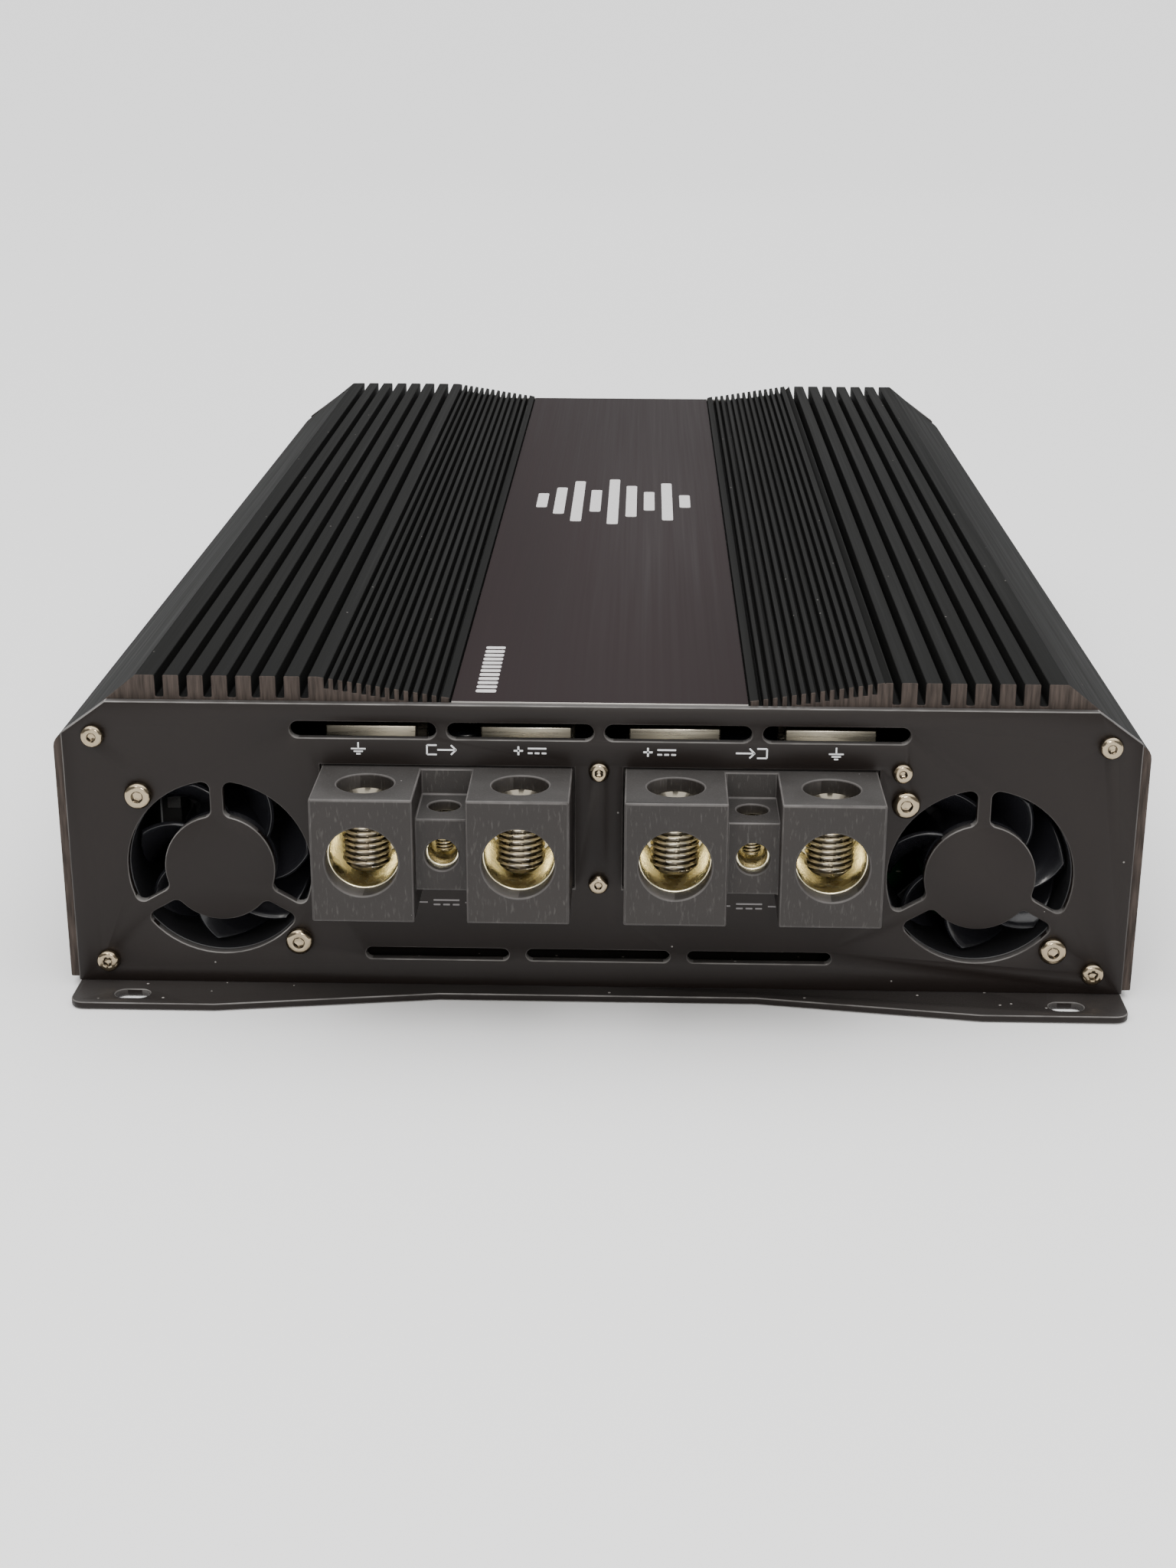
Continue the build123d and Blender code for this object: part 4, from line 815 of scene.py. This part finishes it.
# --- fans
def make_impeller(side):
    """A domed cup with swept blades, all about Z, then laid along the fan's axis."""
    node = f"{side}_fan_impeller"
    low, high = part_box(node)
    middle, height = (low + high) / 2, (high.y - low.y) / MM
    hub, tip, buried = 11.3, 18.0, 0.6
    inner_wall, inner_face = hub - 1.2, height - 3
    core, bore, core_foot, bore_top = 3.0, 1.6, 4.0, height - 1.5
    cup = [(0, height), (hub - 2.2, height), (hub - 0.7, height - 0.25), (hub, height - 1.0), (hub, 0.0),
           (inner_wall, 0.0), (inner_wall, inner_face), (core, inner_face), (core, core_foot),
           (bore, core_foot), (bore, bore_top), (0, bore_top)]
    bm = turned(cup, 64)
    cup_mesh = finished("hub", as_mesh("hub", scaled(bm)), smooth=35)
    blade = bmesh.new()
    blade_count, radial, along = 7, 10, 12
    root_pitch, pitch_fall, tip_sweep, most_bow, lean = 56, 14, 24, 9, 0.9
    edge_gap, tip_gap = 0.8, 1.5
    grid = []
    for i in range(radial + 1):
        share = i / radial
        radius = hub - buried + (tip - hub + buried) * share
        sweep = math.radians(tip_sweep) * share ** 1.3
        pitch = math.radians(root_pitch - pitch_fall * share)
        row = []
        for j in range(along + 1):
            u = j / along - 0.5
            rise = u * (height - edge_gap - tip_gap * share)
            bow = math.radians(most_bow) * math.cos(math.pi * u)
            turn = sweep + bow - rise / math.tan(pitch) / radius * lean
            point = (radius * math.cos(turn), radius * math.sin(turn), height / 2 + rise)
            row.append(blade.verts.new(point))
        grid.append(row)
    for a, b in zip(grid, grid[1:]):
        for j in range(along):
            blade.faces.new((a[j], b[j], b[j + 1], a[j + 1]))
    holder = held("blade_sheet", as_mesh("blade_sheet", scaled(blade)))
    wall = holder.modifiers.new("wall", "SOLIDIFY")
    wall.thickness, wall.offset = 0.9 * MM, 0
    pattern = bpy.data.objects.new("blade", finished("blade", evaluated(holder), 0.16 * MM, smooth=50))
    ring = ring_of("blades", pattern, blade_count, "impeller_plastic")
    mesh = joined(node + "_moulded", [cup_mesh, ring])
    laid = Matrix.Rotation(math.radians(90), 4, "X")
    mesh.transform(Matrix.Translation((middle.x, high.y, middle.z)) @ laid)
    place_piece(node + "_moulded", mesh, "impeller_plastic", body_of[node], [node])


for side in ("left", "right"):
    soften(f"{side}_fan_frame", 0.2 * MM)
    make_impeller(side)


# --- terminals
def set_screw(node, name, crest_radius, pitch, hex_size, tip):
    """A threaded, hex-driven set screw in the place of its CAD node, its foot narrower by the tip."""
    low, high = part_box(node)
    middle, length = (low + high) / 2, (high.z - low.z) / MM
    depth, drill_point = 0.6 * hex_size + 1.4, 0.6
    root = crest_radius - 0.72 * pitch
    hexed = hexagon(hex_size)
    per_turn, threaded = 10, -1.0
    count = int(length / pitch * per_turn)
    foot_radius, top_radius = crest_radius - tip, crest_radius - 0.7

    def thread(radius, turn, height):
        """The threaded rows follow a flat-crested wave that winds upwards and tapers at both ends."""
        if radius != threaded:
            return radius
        phase = (height / pitch - turn / (2 * math.pi)) % 1
        wave = min(1.0, max(0.0, 1.35 * abs(2 * phase - 1) - 0.2))
        full = root + (crest_radius - root) * wave
        return min(full, foot_radius + height, top_radius + (length - height))

    rows = [(0, 0.0), (foot_radius - 0.15, 0.0)]
    rows += [(threaded, length * (i + 0.5) / count) for i in range(count)]
    lead = 0.1 * crest_radius
    rows += [(top_radius, length), (top_radius - 0.5 * lead, length)]
    rows += [(hexed, length - 2 * lead), (hexed, length - depth), (0, length - depth - drill_point)]
    bm = scaled(turned(rows, 60, thread))
    bm.transform(Matrix.Translation((middle.x, middle.y, low.z)))
    mesh = finished(name, as_mesh(name, bm), smooth=34)
    # Marks the faces in the thread roots for painted shade.
    deep = (crest_radius + root) / 2 * MM
    axis = Vector((middle.x, middle.y))
    painted_groove_shade = [float(0.7 * deep < (face.center.xy - axis).length < deep) for face in mesh.polygons]
    mesh.attributes.new("painted_groove_shade", "FLOAT", "FACE").data.foreach_set("value", painted_groove_shade)
    return place_piece(name, mesh, slot_of[node], body_of[node], [node])


power_thread = dict(crest_radius=4.95, pitch=1.25, hex_size=5.0, tip=1.6)
remote_thread = dict(crest_radius=1.95, pitch=0.7, hex_size=2.0, tip=0.6)
speaker_thread = dict(crest_radius=2.95, pitch=1.0, hex_size=3.0, tip=0.8)
for side in ("left", "right"):
    soften(f"{side}_power_block", 0.35 * MM, 3)
    for kind in ("ground", "supply"):
        set_screw(f"{side}_{kind}_set_screw", f"{side}_{kind}_screw_turned", **power_thread)
    set_screw(f"{side}_remote_set_screw", f"{side}_remote_screw_turned", **remote_thread)
for node in ("ground_terminals", "supply_terminals", "remote_terminals", "speaker_terminals"):
    soften(node, 0.25 * MM, 3)
soften("bus_bars", 0.3 * MM)
soften("speaker_block", 0.3 * MM)
for i in range(1, 5):
    set_screw(f"speaker_set_screw_{i}", f"speaker_screw_{i}_turned", **speaker_thread)


# --- rear fittings
def make_knob(node):
    """A knurled trimmer knob with a screwdriver slot, facing the rear."""
    low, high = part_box(node)
    centre = (low + high) / 2
    radius, face, reach = 4.0, high.y / MM, 6.0
    grip, rib_count = radius - 0.35, 30
    body = turned([(0, reach), (radius - 1.1, reach), (grip, reach - 0.35), (grip, 0.2),
                   (radius - 0.6, 0.0), (0, 0.0)], 60)

    def bar(size, middle):
        made = bmesh.new()
        bmesh.ops.create_cube(made, size=1.0)
        made.transform(Matrix.Translation(middle) @ Matrix.Diagonal((*size, 1)))
        return scaled(made)

    pattern = master("knob_rib", bar((0.5, 0.28, reach - 1.2), (grip, 0, reach / 2 - 0.3)), 0.1 * MM)
    ribs = ring_of("knob_ribs", pattern, rib_count, "knob_plastic")
    slot = bar((2 * radius + 1, 1.0, 2.2), (0, 0, reach))
    shaft_radius, shaft_top, shaft_foot = 1.5, 0.5, -((face - reach) - low.y / MM)
    profile = [(0, shaft_top), (shaft_radius, shaft_top), (shaft_radius, shaft_foot), (0, shaft_foot)]
    shaft = turned(profile, 32)
    holder = held("knob_body", as_mesh("knob_body", scaled(body)))
    cutter = held("knob_slot", as_mesh("knob_slot", slot))
    cut = holder.modifiers.new("cut", "BOOLEAN")
    cut.operation, cut.solver, cut.object = "DIFFERENCE", "EXACT", cutter
    solid = finished("knob_cut", evaluated(holder, cutter), 0.12 * MM, smooth=35)
    mesh = joined(node + "_moulded", [solid, ribs, finished("shaft", as_mesh("shaft", scaled(shaft)))])
    turn = Matrix.Rotation(math.radians(-90), 4, "X")
    mesh.transform(Matrix.Translation((centre.x, high.y - reach * MM, centre.z)) @ turn)
    place_piece(node + "_moulded", mesh, "knob_plastic", body_of[node], [node])


for node in ("level_knob", "low_pass_knob", "subsonic_knob", "bass_boost_knob"):
    make_knob(node)
for node in ("signal_jack_body", "phase_switch_body", "phase_switch_lever", "bass_remote_jack"):
    soften(node, 0.2 * MM)
for node in ("signal_jack_shells", "signal_jack_insulators", "indicator_lights"):
    soften(node, 0.12 * MM)


# --- inside
def make_toroids(cores, windings, count, seed):
    """Enamelled turns round each core: one closed turn of wire, copied about the core's axis."""
    meshes = []
    inner, wire, stand, bend, sides = 12.0, 0.85, 0.9, 1.6, 8
    for low, high in islands(cores):
        middle = (low + high) / 2
        outer, tall = (high.x - low.x) / 2 / MM, (high.z - low.z) / MM
        bm = bmesh.new()
        x0, x1, z0, z1 = inner - stand, outer + stand, -stand, tall + stand
        corners = [(x, z, bend) for x, z in ((x1, z0), (x1, z1), (x0, z1), (x0, z0))]
        seam = (x0 + 2, z0, 0)
        loop = rounded_line([seam, *corners, seam], 4)[:-1]
        rings = []
        for i, p in enumerate(loop):
            before, after = loop[i - 1], loop[(i + 1) % len(loop)]
            along = (after - before).normalized()
            out = Vector((along.y, -along.x))
            ring = []
            for j in range(sides):
                a = 2 * math.pi * j / sides
                offset = out * math.cos(a) * wire
                ring.append(bm.verts.new((p.x + offset.x, math.sin(a) * wire, p.y + offset.y)))
            rings.append(ring)
        for i, ring in enumerate(rings):
            other = rings[(i + 1) % len(rings)]
            for j in range(sides):
                k = (j + 1) % sides
                bm.faces.new((ring[j], ring[k], other[k], other[j]))
        bmesh.ops.recalc_face_normals(bm, faces=bm.faces)
        turn = master("turn", scaled(bm), smooth=60)
        mesh = ring_of(windings + "_turns", turn, count, "enamel_copper", 0.05, seed)
        mesh.transform(Matrix.Translation((middle.x, middle.y, low.z)))
        meshes.append(mesh)
    name = windings + "_wound"
    place_piece(name, joined(name, meshes), "enamel_copper", "chassis", [windings])


def make_cans(node):
    """Sleeved electrolytic capacitors with a crimp low on the can and a sunk lid."""
    boxes = islands(node)
    low, high = boxes[0]
    radius, tall = (high.x - low.x) / 2 / MM, (high.z - low.z) / MM
    crimp, lid = radius - 0.35, tall - 0.35
    rows = [(0, 0), (radius - 0.6, 0), (radius - 0.1, 0.5), (radius, 1.0), (radius, 2.4), (crimp, 3.0)]
    rows += [(radius, 3.6), (radius, tall - 0.8), (radius - 0.3, tall - 0.25), (radius - 0.9, tall)]
    rows += [(radius - 1.4, lid), (radius * 0.5, lid), (0, lid)]
    pattern = master(node + "_can", scaled(turned(rows, 40)), smooth=45)
    places = [((a.x + b.x) / 2, (a.y + b.y) / 2, a.z) for a, b in boxes]
    mesh = at_places(node + "_sleeved", pattern, places, UPRIGHT, "can_sleeve", 7)
    place_piece(node + "_sleeved", mesh, "can_sleeve", "chassis", [node])


make_toroids("transformer_cores", "transformer_windings", count=34, seed=21)
make_toroids("output_inductor_cores", "output_inductor_windings", count=30, seed=22)
make_cans("input_capacitors")
make_cans("rail_capacitors")


# --- printed marks
def bars(name, boxes, plane_y=None, plane_z=None, thickness=0.06):
    """Thin raised blocks in the plane of a panel or the badge: (u, v, half width, half height, turn)."""
    bm, sunk = bmesh.new(), 0.02
    for u, v, half_u, half_v, turn in boxes:
        corner = min(half_u, half_v) * 0.5
        made = bmesh.new()
        bmesh.ops.create_cube(made, size=2.0)
        made.transform(Matrix.Diagonal((half_u, half_v, thickness / 2, 1)))
        upright = [e for e in made.edges if abs(e.verts[0].co.z - e.verts[1].co.z) > thickness * 0.5]
        bmesh.ops.bevel(made, geom=upright, offset=corner, segments=3, affect="EDGES", profile=0.5)
        made.transform(Matrix.Translation((u, v, 0)) @ Matrix.Rotation(turn, 4, "Z"))
        bm.from_mesh(as_mesh("mark", made))
    if plane_y is not None:
        standing = Matrix.Rotation(math.radians(90), 4, "X")
        bm.transform(Matrix.Translation((0, plane_y - thickness / 2 + sunk, 0)) @ standing)
    else:
        bm.transform(Matrix.Translation((0, 0, plane_z + thickness / 2 - sunk)))
    return as_mesh(name, scaled(bm))


def earth_sign(x, z):
    """A stem on three lines, each shorter than the one above."""
    line = 0.16
    lines = [(x, z + 0.05, 1.5, line, 0), (x, z - 0.5, 0.95, line, 0), (x, z - 1.05, 0.45, line, 0)]
    return [(x, z + 0.75, line, 0.7, 0)] + lines


def plus_sign(x, z):
    half, line = 0.95, 0.2
    return [(x, z, half, line, 0), (x, z, line, half, 0)]


def direct_current(x, z, half):
    """A line over three dashes."""
    dash, line, spread = 0.26 * half, 0.18, 0.74 * half
    dashes = [(x + s * spread, z - 0.5, dash, line, 0) for s in (-1, 0, 1)]
    return [(x, z + 0.5, half, line, 0)] + dashes


def arrow(x, z, way):
    """A shaft and two slanted barbs, pointing right or left."""
    half, line, barb, slant = 1.9, 0.17, 0.75, math.radians(45)
    barb_x = x + way * half - way * 0.5
    barbs = [(barb_x, z + s * 0.5, barb, line, -s * way * slant) for s in (1, -1)]
    return [(x, z, half, line, 0)] + barbs


def open_box(x, z, way):
    """An open box that an arrow points into or out of."""
    line, half = 0.17, 1.0
    return [(x - way * half, z, line, half, 0), (x, z + half, half, line, 0), (x, z - half, half, line, 0)]


label_z, supply_z = 53.9, 20.4
marks = earth_sign(-49.0, label_z) + earth_sign(48.0, label_z)
marks += plus_sign(-16.4, label_z) + plus_sign(9.9, label_z)
marks += direct_current(-12.6, label_z, 1.9) + direct_current(13.7, label_z, 1.9)
marks += open_box(-34.0, label_z, 1) + arrow(-31.0, label_z, 1)
marks += open_box(33.0, label_z, -1) + arrow(29.6, label_z, 1)

supply = []
for x in (-31.6, 31.3):
    supply += direct_current(x, supply_z, 2.7) + [(x + s * 7.0, supply_z, 3.1, 0.14, 0) for s in (-1, 1)]
supply_ink = print_ink("supply_ink", (0.16, 0.15, 0.15))
for name, boxes, ink in (("terminal_marks", marks, label_ink), ("supply_marks", supply, supply_ink)):
    place_piece(name, bars(name, boxes, plane_y=panel_face), "black_paint", "chassis", material=ink)

badge_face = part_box("badge_plate")[1].z / MM
reaches = (9, 17, 26, 14, 29, 20, 12, 24, 8)
emblem = [(-20.0 + 5.0 * i, 11.0, 1.5, reach, 0) for i, reach in enumerate(reaches)]
scale = [(-23.5, -171.0 + 2.9 * i, 2.1, 0.95, 0) for i in range(12)]
badge_marks = bars("badge_marks", emblem + scale, plane_z=badge_face, thickness=0.08)
place_piece("badge_marks", badge_marks, "badge_film", "chassis", material=silver_ink)


# --- carried-over nodes
for node, shape in nodes.items():
    for holder in shape.material_slots:
        holder.link = "OBJECT"
        holder.material = finishes[slot_of[node]]
    if not shape.material_slots:
        shape.data.materials.append(finishes[slot_of[node]])


# --- stage
def make_floor():
    """A plain pale floor, just below the base plate."""
    bm = bmesh.new()
    bmesh.ops.create_grid(bm, x_segments=2, y_segments=2, size=60.0)
    floor = held("floor", as_mesh("floor", bm))
    f = Finish("floor", (0.96, 0.96, 0.96), 0.6, specular=0.3)
    f.bump(f.noise(220, 2), 0.0002, 0.2)
    floor.data.materials.append(f.material)
    floor.location.z = -0.2 * MM


def soft_light(name, place, target, size, power, colour=(1, 1, 1)):
    """A rectangular area light at one place, turned towards another."""
    lamp = bpy.data.lights.new(name, "AREA")
    lamp.shape, (lamp.size, lamp.size_y) = "RECTANGLE", size
    lamp.energy, lamp.color = power, colour
    holder = held(name, lamp)
    holder.location = place
    holder.rotation_euler = (Vector(target) - holder.location).to_track_quat("-Z", "Y").to_euler()


def make_world():
    """A plain pale studio, brightest overhead and dim towards its walls."""
    world = bpy.data.worlds.new("studio")
    bpy.context.scene.world = world
    world.use_nodes = True
    tree = world.node_tree
    height = tree.nodes.new("ShaderNodeSeparateXYZ")
    tree.links.new(tree.nodes.new("ShaderNodeTexCoord").outputs["Generated"], height.inputs[0])
    strength = tree.nodes.new("ShaderNodeMapRange")
    for key, value in {"From Min": 0.5, "From Max": 0.85, "To Min": 0.3, "To Max": 3.2}.items():
        strength.inputs[key].default_value = value
    tree.links.new(height.outputs[2], strength.inputs["Value"])
    background = tree.nodes["Background"]
    background.inputs["Color"].default_value = (1, 1, 1, 1)
    tree.links.new(strength.outputs[0], background.inputs["Strength"])


def make_camera():
    """Low in front of the power terminals, looking down along the object."""
    place = (0.00832, -0.60897, 0.19967)
    yaw, pitch, roll = -0.0246, 0.342, 0.0039
    across, ahead = math.sin(yaw) * math.cos(pitch), math.cos(yaw) * math.cos(pitch)
    forward = Vector((across, ahead, -math.sin(pitch)))
    level = Vector((math.cos(yaw), -math.sin(yaw), 0))
    upward = level.cross(forward)
    right = math.cos(roll) * level + math.sin(roll) * upward
    up = math.cos(roll) * upward - math.sin(roll) * level
    lens = bpy.data.cameras.new("camera")
    lens.lens, lens.sensor_width, lens.clip_start = 51.28, 36.0, 0.02
    camera = held("camera", lens)
    turn = Matrix((right, up, -forward)).transposed()
    camera.matrix_world = Matrix.Translation(place) @ turn.to_4x4()
    bpy.context.scene.camera = camera


make_floor()
soft_light("key", (-0.45, -1.3, 0.95), (0, -0.15, 0.03), (0.3, 0.22), 3.0, (1, 0.97, 0.92))
soft_light("flash", (0.06, -0.95, 0.34), (0, -0.15, 0.04), (0.1, 0.07), 1.7, (1, 0.97, 0.92))
soft_light("front_card", (0, -2.0, 0.5), (0, -0.15, 0.04), (1.3, 0.8), 5.0, (1, 0.98, 0.95))
soft_light("back", (0.1, 1.7, 0.78), (0, -0.19, 0.05), (0.3, 0.12), 0.8)
make_world()
make_camera()
